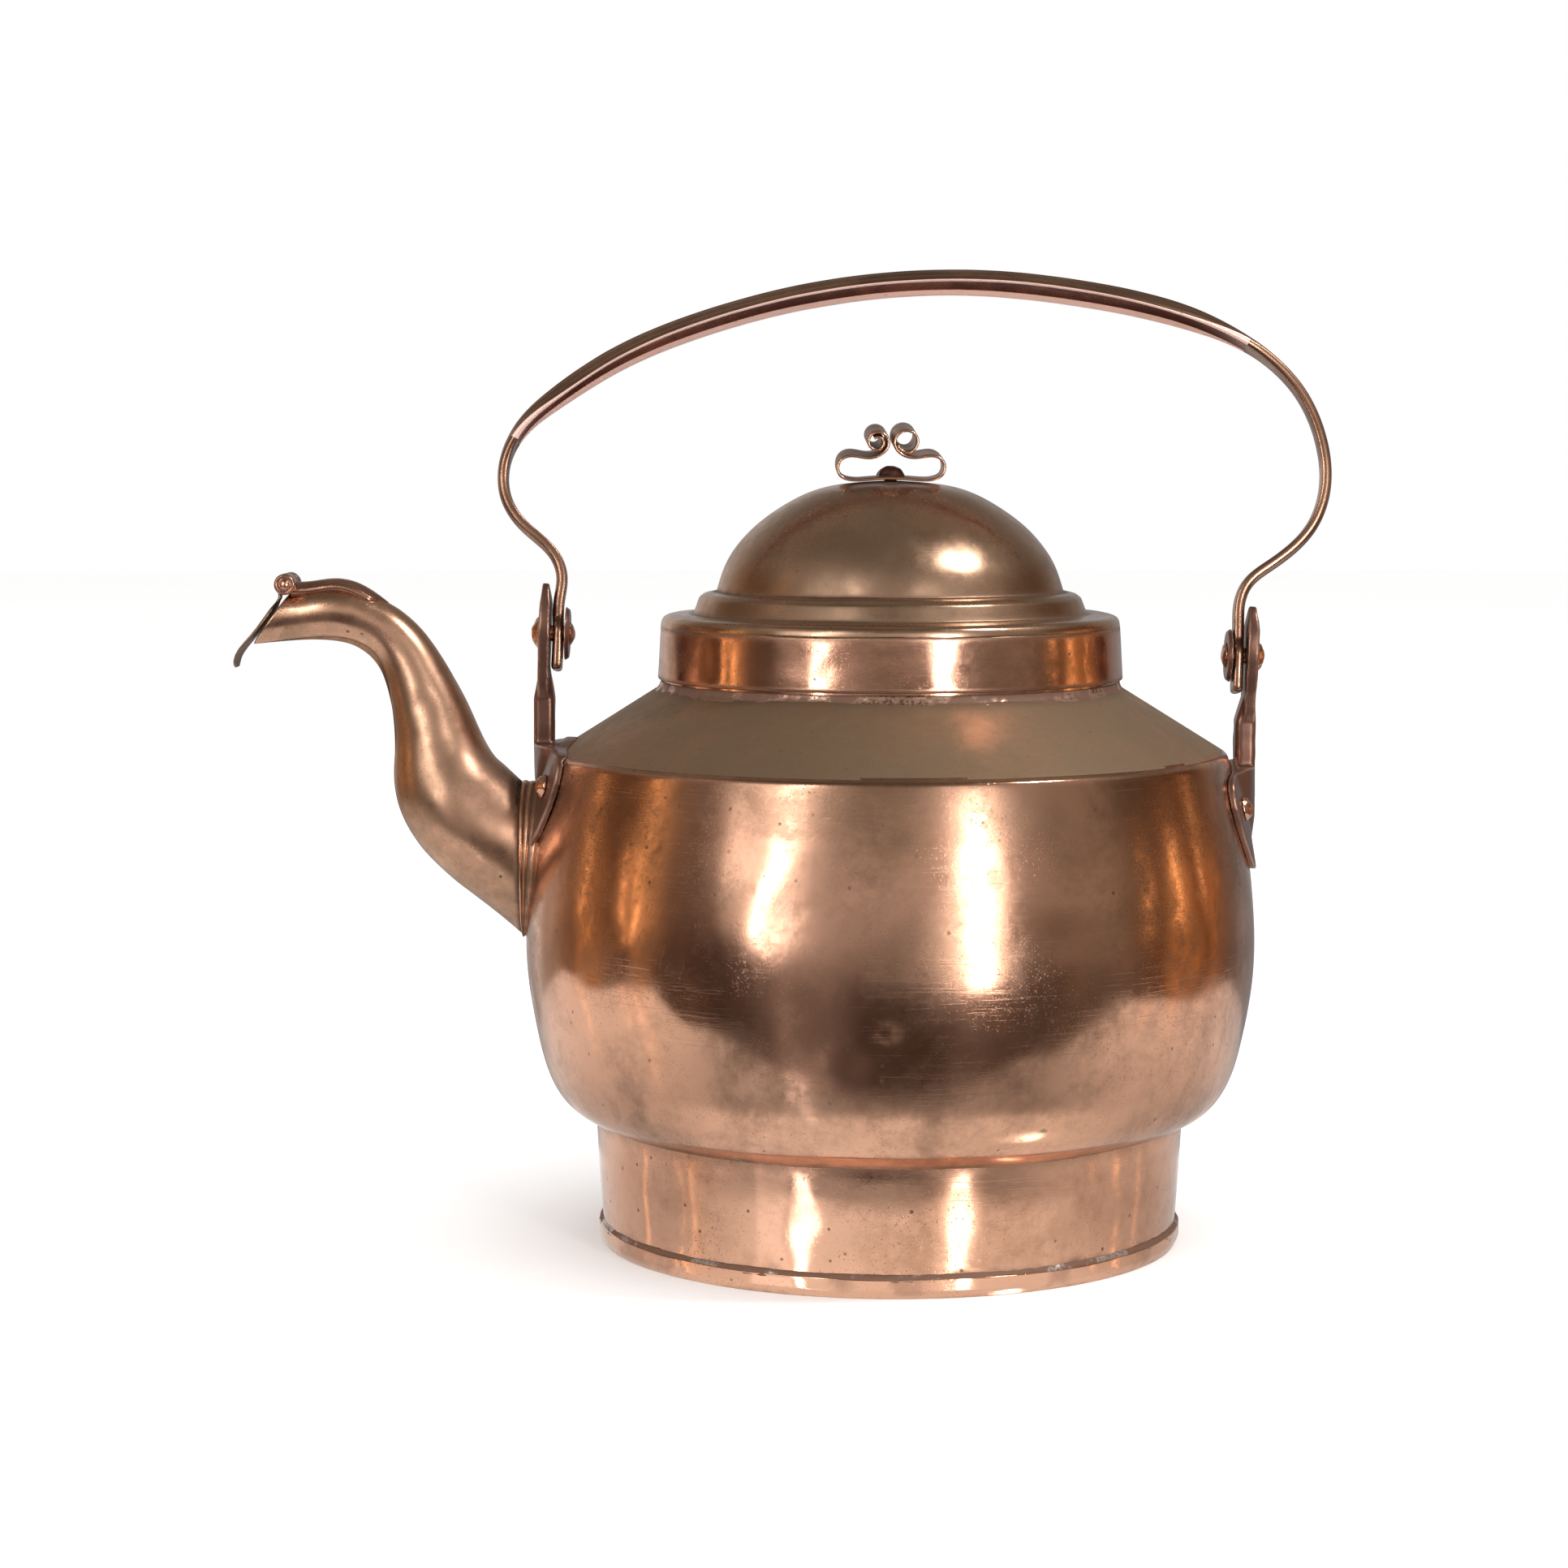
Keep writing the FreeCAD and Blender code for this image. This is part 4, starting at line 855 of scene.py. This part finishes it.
def build_knob():
    """The knob: one strip bent into two flat lobes and two scrolls, the left one the tighter."""
    foot = DOME_TOP_Z + KNOB_T / 2
    lobe_z = foot + LOBE_R

    def half(side, coil):
        lobe = []
        for angle in (-90, -45, 0, 45, 80):
            a = math.radians(angle)
            lobe.append((LOBE_X + LOBE_R * math.cos(a), lobe_z + LOBE_R * math.sin(a)))
        waist = [(LOBE_X - 6, lobe_z + LOBE_R - 0.5), (SCROLL_X - 0.2, SCROLL_Z - SCROLL_R - 0.7)]
        return [(side * x, z) for x, z in lobe + waist] + coil

    left_coil = [(-x, z) for x, z in scroll(530, SCROLL_R, 0.62)]
    right_coil = scroll(385, SCROLL_R + 0.2, 0.25)
    left = half(-1, left_coil)[::-1]
    right = half(1, right_coil)
    path = left + [(-7.0, foot + 0.05), (0.0, foot + 0.35), (7.0, foot + 0.05)] + right
    centres, up = upright(spline(path, 0.35))
    t = KNOB_T / 2
    w = KNOB_W / 2
    edge = [(w * 0.985, -t * 0.75), (w, 0.0), (w * 0.985, t * 0.75)]
    face = [(w * 0.9, t), (w * 0.45, t), (0.0, t), (-w * 0.45, t), (-w * 0.9, t)]
    section = np.array(edge + face + [(-y, -d) for y, d in edge + face])
    points, faces = swept(centres, up, lambda i: section, 0.3)
    rise = smoothstep(foot, SCROLL_Z, points[:, 2]) * 0.11 + 0.03
    points[:, 2] += (points[:, 1] + w) * rise
    points[:, 0] -= 0.05 * points[:, 1] * smoothstep(foot, SCROLL_Z, points[:, 2])
    points = uneven(points, 0.06, 5.0, 90)
    front = smoothstep(w * 0.9, w, np.abs(points[:, 1] - points[:, 1].mean()))
    make_piece("knob_strip", points, faces, "lid", ["knob_scroll"], KNOB_COPPER,
               {"worn": front, "grime": (1 - front) * 0.25})
    forge("knob_rivet_hammered", "knob_rivet", "lid", LUG_COPPER,
          (0.3, 4, 0.42, 95, 3.2), grime=0.5)


# ---------------------------------------------------------------- spout


def trimmed_columns(grid, starts, ends, rows):
    """Every column of a grid cut between two distances down it and divided evenly again."""
    columns = []
    for j in range(grid.shape[1]):
        column = grid[:, j]
        at = np.linspace(starts[j], ends[j], rows)
        places = np.arange(len(column))
        columns.append(np.stack([np.interp(at, places, column[:, k]) for k in range(3)], 1))
    return np.stack(columns, 1)


def crossing(values):
    """Where a run of numbers first rises through 0, as a share between its places."""
    i = int(np.argmax((values[:-1] < 0) & (values[1:] >= 0)))
    return i - values[i] / (values[i + 1] - values[i])


def build_spout():
    """The gooseneck: a tapering tube, square at its root and slanting at its mouth."""
    line = spline(SPOUT, 0.8)
    centres, up = upright(line, -1)
    columns = 160
    length_rows = 190
    angles = round_angles(columns)
    side = np.cos(angles)
    rise = np.sin(angles)
    out = side[None, :, None] * np.array([0, 1.0, 0]) + rise[None, :, None] * up[:, None]
    surface = centres[:, None] + out * line[:, 2][:, None, None]
    flat = surface.reshape(-1, 3)
    places = [((-153.0, -17.0, 168.0), 9.0, -0.55), ((-158.5, -11.0, 184.0), 6.5, -0.45),
              ((-137.0, -18.0, 152.0), 9.0, -0.50), ((-146.0, -19.0, 138.0), 12.0, 0.25),
              ((-160.0, -12.0, 176.0), 4.0, 0.18), ((-183.0, -8.0, 214.0), 5.0, -0.2)]
    push = 0.20 * lumps(flat, 22.0, 101) + 0.04 * lumps(flat, 7.0, 103) + dents(flat, places)
    push *= smoothstep(COLLAR_X + 2, COLLAR_X - 8, flat[:, 0])
    outer = surface + out * push.reshape(surface.shape[:2])[..., None]
    inner = outer - out * SHEET
    slope = np.array([MOUTH_LIP[1] - MOUTH_TOP[1], MOUTH_TOP[0] - MOUTH_LIP[0]])
    slope = slope / np.linalg.norm(slope)

    def cut(grid):
        starts = [crossing(COLLAR_X - grid[:, j, 0]) for j in range(columns)]
        past = (grid[..., 0] - MOUTH_TOP[0]) * slope[0] + (grid[..., 2] - MOUTH_TOP[1]) * slope[1]
        if past[0, 0] > 0:
            past = -past
        ends = [crossing(past[:, j]) for j in range(columns)]
        return trimmed_columns(grid, starts, ends, length_rows)

    outer = cut(outer)
    inner = cut(inner)
    root_edge = (outer[:1] + inner[:1]) / 2
    lip_edge = (outer[-1:] + inner[-1:]) / 2 + np.array([-0.25, 0, 0])
    grid = np.concatenate([outer, lip_edge, inner[::-1], root_edge])
    rows = len(grid)
    points = grid.reshape(-1, 3)
    faces = quads_of(rows, columns, True, True)
    grime = 0.8 * smoothstep(COLLAR_X - 2.2, COLLAR_X - 0.4, points[:, 0] + 0.5 * lumps(points, 3.0, 107))
    # Painted shade: a dark patch on the spout's bend.
    from_painted_dark_spot = away_from((-136.0, -14.0, 157.0), points) + 3.0 * lumps(points, 9.0, 109)
    grime = grime + 0.62 * smoothstep(20.0, 5.0, from_painted_dark_spot)
    lip = np.zeros(rows)
    lip[length_rows - 10:length_rows + 10] = 1
    piece = make_piece("spout", points, faces, "kettle_body", ["spout_tube"], SPOUT_COPPER,
                       {"grime": grime, "worn": np.repeat(lip, columns) * 0.5})
    row_of = np.arange(rows * columns) // columns
    paint_faces(piece, [INSIDE_TIN], (row_of > length_rows + 5) & (row_of < rows - 1))


def barrel_radius(z):
    """The barrel's outside radius at a height."""
    line = spline(BARREL, 0.5)
    return np.interp(z, line[:, 1], line[:, 0])


def build_collar():
    """The oval sleeve at the spout's root: a bead, a groove and a foot soldered to the barrel."""
    columns = 200
    angles = round_angles(columns)
    # (share of the way from the tube's end to the barrel, height above the sleeve)
    profile = [(0.0, -0.9), (0.0, 0.10), (0.05, 0.45), (0.12, 0.58), (0.19, 0.42), (0.25, 0.06),
               (0.31, 0.02), (0.38, 0.26), (0.45, 0.26), (0.52, 0.04), (0.76, 0.0), (0.92, 0.22),
               (1.0, 0.6), (1.3, 0.5), (1.3, -0.9), (0.6, -1.0)]
    reach = 5.0
    line = spline([(share * reach, height) for share, height in profile], 0.25)
    rows = []
    for share, height in zip(line[:, 0] / reach, line[:, 1]):
        y = (COLLAR_RY + height) * np.cos(angles)
        z = COLLAR_Z + (COLLAR_RZ + height) * np.sin(angles)
        wall = -np.sqrt(np.maximum(barrel_radius(z) ** 2 - y ** 2, 0))
        x = COLLAR_X + (wall - COLLAR_X) * share
        rows.append(np.stack([x, y, z], 1))
    points = np.array(rows).reshape(-1, 3)
    points = uneven(points, 0.06, 4.0, 110)
    faces = quads_of(len(rows), columns, True, True)
    height = np.repeat(line[:, 1], columns)
    grime = 0.55 * smoothstep(0.25, 0.0, height + 0.15 * lumps(points, 3.0, 115))
    make_piece("spout_collar_bead", points, faces, "kettle_body", ["spout_collar"],
               SPOUT_COPPER, {"grime": grime, "worn": smoothstep(0.35, 0.6, height)})


def turned_knuckle(side, inner_end):
    """A fixed knuckle of the hinge, its end coiled in rings: points and faces."""
    r = KNUCKLE_R
    out = HINGE_HALF_W
    profile = [(0.0, inner_end), (r * 0.9, inner_end), (r, inner_end + 0.3), (r, (inner_end + out) / 2),
               (r, out - 0.6), (r * 0.9, out), (r * 0.74, out + 0.1), (r * 0.68, out - 0.35),
               (r * 0.60, out - 0.35), (r * 0.54, out + 0.1), (r * 0.44, out + 0.1), (r * 0.40, out - 0.3),
               (r * 0.34, out - 0.3), (0.0, out - 0.3)]
    turns = 56
    angles = round_angles(turns)
    rows = []
    for radius, y in profile:
        x = HINGE[0] + radius * np.cos(angles)
        z = HINGE[1] + radius * np.sin(angles)
        rows.append(np.stack([x, angles * 0 + side * y, z], 1))
    grid = uneven(np.concatenate(rows), 0.06, 2.5, 240)
    return grid, quads_of(len(profile), turns, False, True)


def build_flap():
    """The saddle strap, the hinge and the curved flap over the mouth."""
    line = spline(STRAP, 0.5)
    centres, up = upright(line)
    bend_r = 9.2
    top = []
    for y in np.linspace(-STRAP_HALF_W, STRAP_HALF_W, 15):
        top.append((y, math.sqrt(bend_r ** 2 - y * y) - bend_r))
    under = [(y * 0.96, level - 2.6) for y, level in reversed(top)]
    section = np.array(top + under)
    left_over = along(line)[-1] - along(line)
    narrowing = 0.55 + 0.45 * smoothstep(0.0, 6.0, left_over)
    points, faces = swept(centres, up, lambda i: section * [narrowing[i], 1.0], 0.5)
    points = uneven(points, 0.05, 6.0, 121)
    count = len(points)
    edge = smoothstep(STRAP_HALF_W - 1.2, STRAP_HALF_W, np.abs(points[:, 1]))
    for side in (-1, 1):
        knuckle, knuckle_faces = turned_knuckle(side, FLAP_KNUCKLE_HALF_W + FREE_GAP)
        faces += (knuckle_faces + len(points)).tolist()
        points = np.concatenate([points, knuckle])
    worn = np.concatenate([0.4 * edge, np.full(len(points) - count, 0.45)])
    make_piece("hinge_strap", points, faces, "kettle_body", ["flap_hinge_strap"],
               STRAP_COPPER, {"worn": worn})
    forge("hinge_pin", "flap_hinge_pin", "kettle_body", RIVET_COPPER,
          (0.2, 3, 0.06, 125, 1.5))
    forge("mouth_flap", "spout_flap", "flap", FLAP_COPPER,
          (0.22, 6, 0.05, 127, 5.0), worn=0.8)


# ---------------------------------------------------------------- ears and handle


def thin_towards_top(points):
    """Draw a lug's plate down to a thin rounded edge over its pivot."""
    top = points[:, 2].max()
    near = points[points[:, 2] > top - 9.0]
    middle = (near[:, 0].min() + near[:, 0].max()) / 2
    share = smoothstep(top - 8.0, top - 1.0, points[:, 2])
    points[:, 0] += (middle - points[:, 0]) * 0.35 * share


def build_ears():
    """The forged lugs with their rivets and the handle's pivots."""
    body = "kettle_body"
    for seed, side in ((131, "spout_side"), (141, "rear")):
        forge("lug_" + side, "ear_" + side, body, LUG_COPPER,
              (0.4, 14, 0.16, seed, 8.0), draw=thin_towards_top)
        forge("lug_rivets_" + side, "ear_rivets_" + side, body, RIVET_COPPER,
              (0.3, 3, 0.30, seed + 2, 2.6))
        forge("pivot_rivet_" + side, "handle_rivet_" + side, body, RIVET_COPPER,
              (0.3, 3, 0.30, seed + 4, 3.0))
        forge("pivot_washer_" + side, "handle_washer_" + side, body, LUG_COPPER,
              (0.25, 3, 0.05, seed + 6, 5.0))


def handle_frame(points):
    """Points (along, across, up) of the handle's own plane, placed on its leaning pivot axis."""
    axis = np.array([PIVOT_REAR[0] - PIVOT_SPOUT[0], 0, PIVOT_REAR[1] - PIVOT_SPOUT[1]])
    axis /= np.linalg.norm(axis)
    level = np.array([0, 1.0, 0])
    rise = np.cross(axis, level)
    across = level * math.cos(HANDLE_LEAN) - rise * math.sin(HANDLE_LEAN)
    up = rise * math.cos(HANDLE_LEAN) + level * math.sin(HANDLE_LEAN)
    base = np.array([PIVOT_SPOUT[0], 0, PIVOT_SPOUT[1]])
    return base + points[:, :1] * axis + points[:, 1:2] * across + points[:, 2:] * up


def build_handle():
    """The bail: a reeded strap, broad and arched at the grip, with an eye at each pivot."""
    line = spline(HANDLE, 0.8)
    centres, outward = upright(line)
    span = HANDLE[-1][0]
    t = STRAP_T / 2

    top_count = 65
    edge_angles = (60, 25, 0, -25, -60)
    bottom_count = 49
    bottom_from = top_count + len(edge_angles)
    y_top = np.linspace(-0.96, 0.96, top_count)

    def width_at(i):
        x, z, width = line[i]
        if z > 14 or EYE_R < abs(x) < span - EYE_R:
            return width
        eye = 2 * math.sqrt(max(EYE_R ** 2 - z ** 2, 0)) if z > 0 else 2 * EYE_R + z * 0.22
        return max(width * min(1.0, (z + 30) / 18), eye)

    def section(i):
        half = width_at(i) / 2
        arch = float(smoothstep(*ARCH_HALF_W, line[i][2] / 2))
        top = []
        for y in y_top:
            crown = t + 1.5 * arch - (0.9 + 4.6 * arch) * y * y
            reed = (0.02 + 0.28 * arch) * (math.cos(y * math.pi * REEDS) - 1)
            top.append((y * half, crown + reed))
        bottom = []
        for y in np.linspace(0.96, -0.96, bottom_count):
            hollow = -t * 0.95 + 3.3 * arch + (0.3 - 4.7 * arch) * y * y
            lip = arch * 0.75 * math.exp(-((abs(y) - 0.86) / 0.07) ** 2)
            bottom.append((y * half, hollow - lip))
        high = top[-1][1]
        low = bottom[0][1]
        right = []
        for angle in edge_angles:
            a = math.radians(angle)
            out = half * 0.96 + (half * 0.04 + 0.35) * math.cos(a) - 0.12
            right.append((out, (high + low) / 2 + (high - low) / 2 * math.sin(a)))
        left = [(-out, level) for out, level in reversed(right)]
        return np.array(top + right + bottom + left)

    points, faces = swept(centres, outward, section, 1.4)
    ring = len(section(0))
    place = np.arange(len(points)) % ring
    on_top = place < top_count
    rib = 0.5 + 0.5 * np.cos(y_top[np.minimum(place, top_count - 1)] * math.pi * REEDS)
    station = np.clip(np.arange(len(points)) // ring - len(END_STEPS), 0, len(line) - 1)
    arched = smoothstep(*ARCH_HALF_W, line[station, 2] / 2)
    worn = np.where(on_top, 0.45 * rib ** 4 * arched, 0.0)
    grime = np.where(on_top, 0.70 * (1 - rib) ** 2 * arched, 0.0)
    points = uneven(points, 0.05, 16.0, 151)
    patchy = 0.75 + 0.35 * lumps(points, 22.0, 161, 3)
    piece = make_piece("bail", handle_frame(points), faces, "handle", ["handle_bail"],
                       HANDLE_COPPER, {"worn": worn * patchy, "grime": grime})
    first = np.array([face[0] for face in faces])
    broad = line[station[first], 2] > 12.0
    start = first % ring
    # The grip's hollow underside wears the painted shade.
    hollow = (start >= bottom_from + 5) & (start < bottom_from + bottom_count - 7)
    # The grip's edges wear the painted pale sheen.
    edge = (start >= top_count - 2) & ~hollow
    index = np.where(edge & broad, 1, np.where(hollow & broad, 2, 0))
    paint_faces(piece, [GRIP_EDGE_PAINTED_SHEEN, GRIP_HOLLOW_PAINTED_SHADE], index)


# ---------------------------------------------------------------- stage, light and camera


def flat_card(name, low, high, z, material):
    """A level rectangle of the stage."""
    mesh = bpy.data.meshes.new(name)
    corners = [(low[0], low[1], z), (high[0], low[1], z), (high[0], high[1], z), (low[0], high[1], z)]
    mesh.from_pydata(corners, [], [(0, 1, 2, 3)])
    mesh.materials.append(material)
    card = bpy.data.objects.new(name, mesh)
    bpy.context.scene.collection.objects.link(card)
    return card


def build_floor():
    """A plain pale floor, and a glossy table top that the copper reflects in its place, glowing with
    painted light.
    """
    pale, n, at = new_material("pale_floor")
    colour = n.mix(n.noise(at, 3, 2, 0.5), (0.965, 0.965, 0.96), (0.985, 0.985, 0.98))
    n.surface(colour, Roughness=0.9, Specular_IOR_Level=0.0)
    floor = flat_card("floor", (-6, -6), (6, 6), 0.0, pale)
    floor.visible_glossy = False

    table, n, at = new_material("glossy_table")
    x, y, _ = n.put("SeparateXYZ", Vector=at).outputs
    away = n.math("SQRT", n.plus(n.times(x, x), n.times(y, y)))
    sideways = n.step(n.math("DIVIDE", n.math("ABSOLUTE", x), away), 0.55, 1.0)
    # Painted light: the table glows, dimmer near the kettle and to its sides as a painted shadow, a little
    # dimmer to the right, and darker along its front edge as painted shade.
    near = n.blend(sideways, 0.68, 0.38)
    far = n.blend(sideways, 0.72, 0.66)
    right = n.blend(n.step(x, 0.08, 0.30), 1.0, 0.95)
    front_edge_painted_shade = n.times(n.step(away, 0.178, 0.202), n.less(1.0, sideways))
    lit = n.times(n.blend(n.step(away, 0.16, 0.34), near, far), right)
    lit = n.times(lit, n.blend(front_edge_painted_shade, 1.0, 0.22))
    n.surface((0.2, 0.2, 0.2), Roughness=0.03, IOR=1.8, Emission_Color=(1.0, 0.985, 0.965),
              Emission_Strength=lit)
    top = flat_card("table_in_reflections", (-0.60, -0.224), (0.50, 0.30), -0.0004, table)
    top.visible_camera = False
    top.visible_diffuse = False
    top.visible_shadow = False


def softbox(name, azimuth, distance, height, size, power, colour=(1, 1, 1), tilt=0.0):
    """A soft light aimed at the kettle, its place and size in metres and its power in watts.

    Azimuth 0 is in front, 90 towards +X. tilt turns it in its own plane: below 0, its foot
    leans towards -X.
    """
    data = bpy.data.lights.new(name, "AREA")
    data.shape = "RECTANGLE"
    data.size, data.size_y = size
    data.energy = power
    data.color = colour
    lamp = bpy.data.objects.new(name, data)
    a = math.radians(azimuth)
    lamp.location = (distance * math.sin(a), -distance * math.cos(a), height)
    aim = Vector(LIGHTS_AIM) * MM - lamp.location
    turned = aim.to_track_quat("-Z", "Y") @ Quaternion((0, 0, 1), math.radians(tilt))
    lamp.rotation_euler = turned.to_euler()
    bpy.context.scene.collection.objects.link(lamp)
    return lamp


def build_lights():
    """Two tall softboxes in front, one high at the right, haze, warm streaks and floor light."""
    left = softbox("softbox_left", -33, 1.35, 0.58, (0.12, 0.96), 3.2, tilt=-12)
    left.data.shape = "ELLIPSE"
    softbox("softbox_right", 25, 1.35, 0.26, (0.12, 0.56), 4.6)
    softbox("softbox_high", 65, 1.02, 1.46, (0.18, 0.22), 9.5)
    softbox("haze_left", -47, 1.4, 0.62, (0.34, 0.62), 0.75)
    softbox("haze_right", 24, 1.45, 0.62, (0.42, 0.80), 0.9)
    # (azimuth, height, width, length)
    streaks = ((-83, 0.34, 0.035, 0.50), (-89, 0.20, 0.03, 0.30), (-109, 0.24, 0.035, 0.34),
               (82, 0.22, 0.03, 0.20), (96, 0.20, 0.05, 0.26), (110, 0.24, 0.02, 0.26))
    warm = (1.0, 0.60, 0.28)
    watts_per_area = 9.0
    for k, (azimuth, height, width, tall) in enumerate(streaks):
        power = watts_per_area * width * tall
        softbox("warm_streak_%d" % (k + 1), azimuth, 1.3, height, (width, tall), power, warm)
    over = softbox("floor_light", 0, 0.3, 2.4, (3.0, 3.0), 18.0)
    over.visible_glossy = False


def build_world():
    """The room round the kettle: white to the eye, and in reflections a dim studio."""
    world = bpy.data.worlds.new("studio")
    world.use_nodes = True
    bpy.context.scene.world = world
    n = Nodes(world.node_tree)
    direction = n.put("TexCoord").outputs["Generated"]
    x, y, z = n.put("SeparateXYZ", Vector=direction).outputs
    turn = n.math("ARCTAN2", x, n.times(y, -1.0))
    place = n.plus(n.math("DIVIDE", turn, 2 * math.pi), 0.5)

    # (share of the way round, colour) of the room at eye level: from behind the kettle by way of
    # the left (0.25), the front (0.5) and the right (0.75)
    eye = [(0.0, (0.50, 0.52, 0.54)), (0.09, (0.66, 0.62, 0.58)), (0.15, (0.36, 0.24, 0.16)),
           (0.178, (0.12, 0.06, 0.03)), (0.196, (0.20, 0.105, 0.05)), (0.214, (0.10, 0.055, 0.03)),
           (0.252, (0.11, 0.06, 0.03)), (0.272, (0.80, 0.50, 0.24)), (0.290, (0.20, 0.14, 0.10)),
           (0.325, (0.16, 0.12, 0.10)), (0.350, (0.42, 0.38, 0.35)), (0.395, (0.66, 0.62, 0.59)),
           (0.44, (0.52, 0.49, 0.47)), (0.49, (0.50, 0.47, 0.44)), (0.54, (0.52, 0.49, 0.46)),
           (0.60, (0.46, 0.43, 0.41)), (0.645, (0.34, 0.30, 0.27)), (0.70, (0.30, 0.26, 0.22)),
           (0.735, (0.10, 0.065, 0.04)), (0.765, (0.15, 0.075, 0.034)), (0.785, (0.08, 0.04, 0.02)),
           (0.81, (0.15, 0.075, 0.032)), (0.835, (0.09, 0.045, 0.022)), (0.86, (0.26, 0.18, 0.13)),
           (0.90, (0.27, 0.26, 0.25)), (1.0, (0.42, 0.45, 0.48))]
    # and the same below eye level
    low = [(0.0, (0.50, 0.52, 0.54)), (0.09, (0.76, 0.71, 0.66)), (0.15, (0.34, 0.22, 0.14)),
           (0.178, (0.16, 0.08, 0.04)), (0.20, (0.80, 0.44, 0.18)), (0.222, (0.14, 0.08, 0.05)),
           (0.252, (0.12, 0.065, 0.035)), (0.270, (0.60, 0.36, 0.18)), (0.29, (0.12, 0.085, 0.065)),
           (0.33, (0.055, 0.038, 0.03)), (0.375, (0.09, 0.07, 0.06)), (0.405, (0.30, 0.27, 0.26)),
           (0.44, (0.30, 0.27, 0.26)), (0.475, (0.075, 0.055, 0.05)), (0.535, (0.065, 0.045, 0.04)),
           (0.565, (0.26, 0.23, 0.22)), (0.60, (0.09, 0.07, 0.06)), (0.645, (0.10, 0.08, 0.065)),
           (0.70, (0.24, 0.20, 0.17)), (0.735, (0.14, 0.085, 0.05)), (0.765, (0.16, 0.08, 0.04)),
           (0.79, (0.75, 0.38, 0.14)), (0.81, (0.12, 0.055, 0.025)), (0.835, (0.55, 0.25, 0.09)),
           (0.86, (0.20, 0.13, 0.09)), (0.90, (0.26, 0.25, 0.25)), (1.0, (0.42, 0.45, 0.48))]
    streaks = n.noise(n.stretch(direction, (7.0, 7.0, 1.6)), 1.0, 3, 0.6)
    wobble = n.plus(place, n.times(n.less(streaks, 0.5), 0.035))
    high_low = n.mix(n.step(z, -0.07, 0.15), n.ramp(wobble, low), n.ramp(wobble, eye))
    blotch = n.noise(direction, 6.0, 4, 0.65)
    high_low = n.mix(n.times(n.step(z, 0.05, -0.2), 0.55), high_low,
                     n.mix(n.step(blotch, 0.42, 0.58), (0.045, 0.035, 0.03), high_low))
    middle = n.step(n.math("ABSOLUTE", x), 0.45, 0.1)
    upper_front = n.mix(middle, (0.36, 0.33, 0.30), (0.17, 0.155, 0.135))
    upper = n.mix(n.step(y, -0.4, 0.5), upper_front, (0.17, 0.155, 0.13))
    room = n.mix(n.step(z, 0.25, 0.60), high_low, upper)
    overhead = n.mix(n.step(y, -0.08, 0.34), (0.10, 0.085, 0.06), (0.22, 0.20, 0.165))
    roof = n.mix(n.step(z, 0.62, 0.9), room, overhead)
    reflected = n.put("Background", Color=roof, Strength=1.0)
    seen = n.put("Background", Color=(1.0, 1.0, 1.0), Strength=1.0)
    in_a_reflection = n.put("LightPath").outputs["Is Glossy Ray"]
    both = n.put("MixShader", Fac=in_a_reflection, in1=seen.outputs[0], in2=reflected.outputs[0])
    output = n.put("OutputWorld")
    n.tree.links.new(both.outputs[0], output.inputs[0])


def build_camera():
    """The camera at the photograph's viewpoint: a long lens a little above the lid."""
    data = bpy.data.cameras.new("camera")
    data.sensor_width = 36.0
    data.lens = CAMERA_LENS
    camera = bpy.data.objects.new("camera", data)
    camera.location = Vector(CAMERA_PLACE) * MM
    camera.rotation_euler = (math.pi / 2 - CAMERA_DIP, 0, 0)
    bpy.context.scene.collection.objects.link(camera)
    bpy.context.scene.camera = camera
    bpy.context.scene.view_settings.view_transform = "Standard"


# ---------------------------------------------------------------- the whole scene

build_camera()
build_barrel()
build_base()
build_bottom()
build_solder()
build_neck()
build_lid()
build_knob()
build_spout()
build_collar()
build_flap()
build_ears()
build_handle()
for inner_node in ("ear_roves_spout_side", "ear_roves_rear", "knob_rove"):
    cad_node = frame["nodes"][inner_node]
    cad_node.data.materials.clear()
    cad_node.data.materials.append(RIVET_COPPER)
build_floor()
build_lights()
build_world()
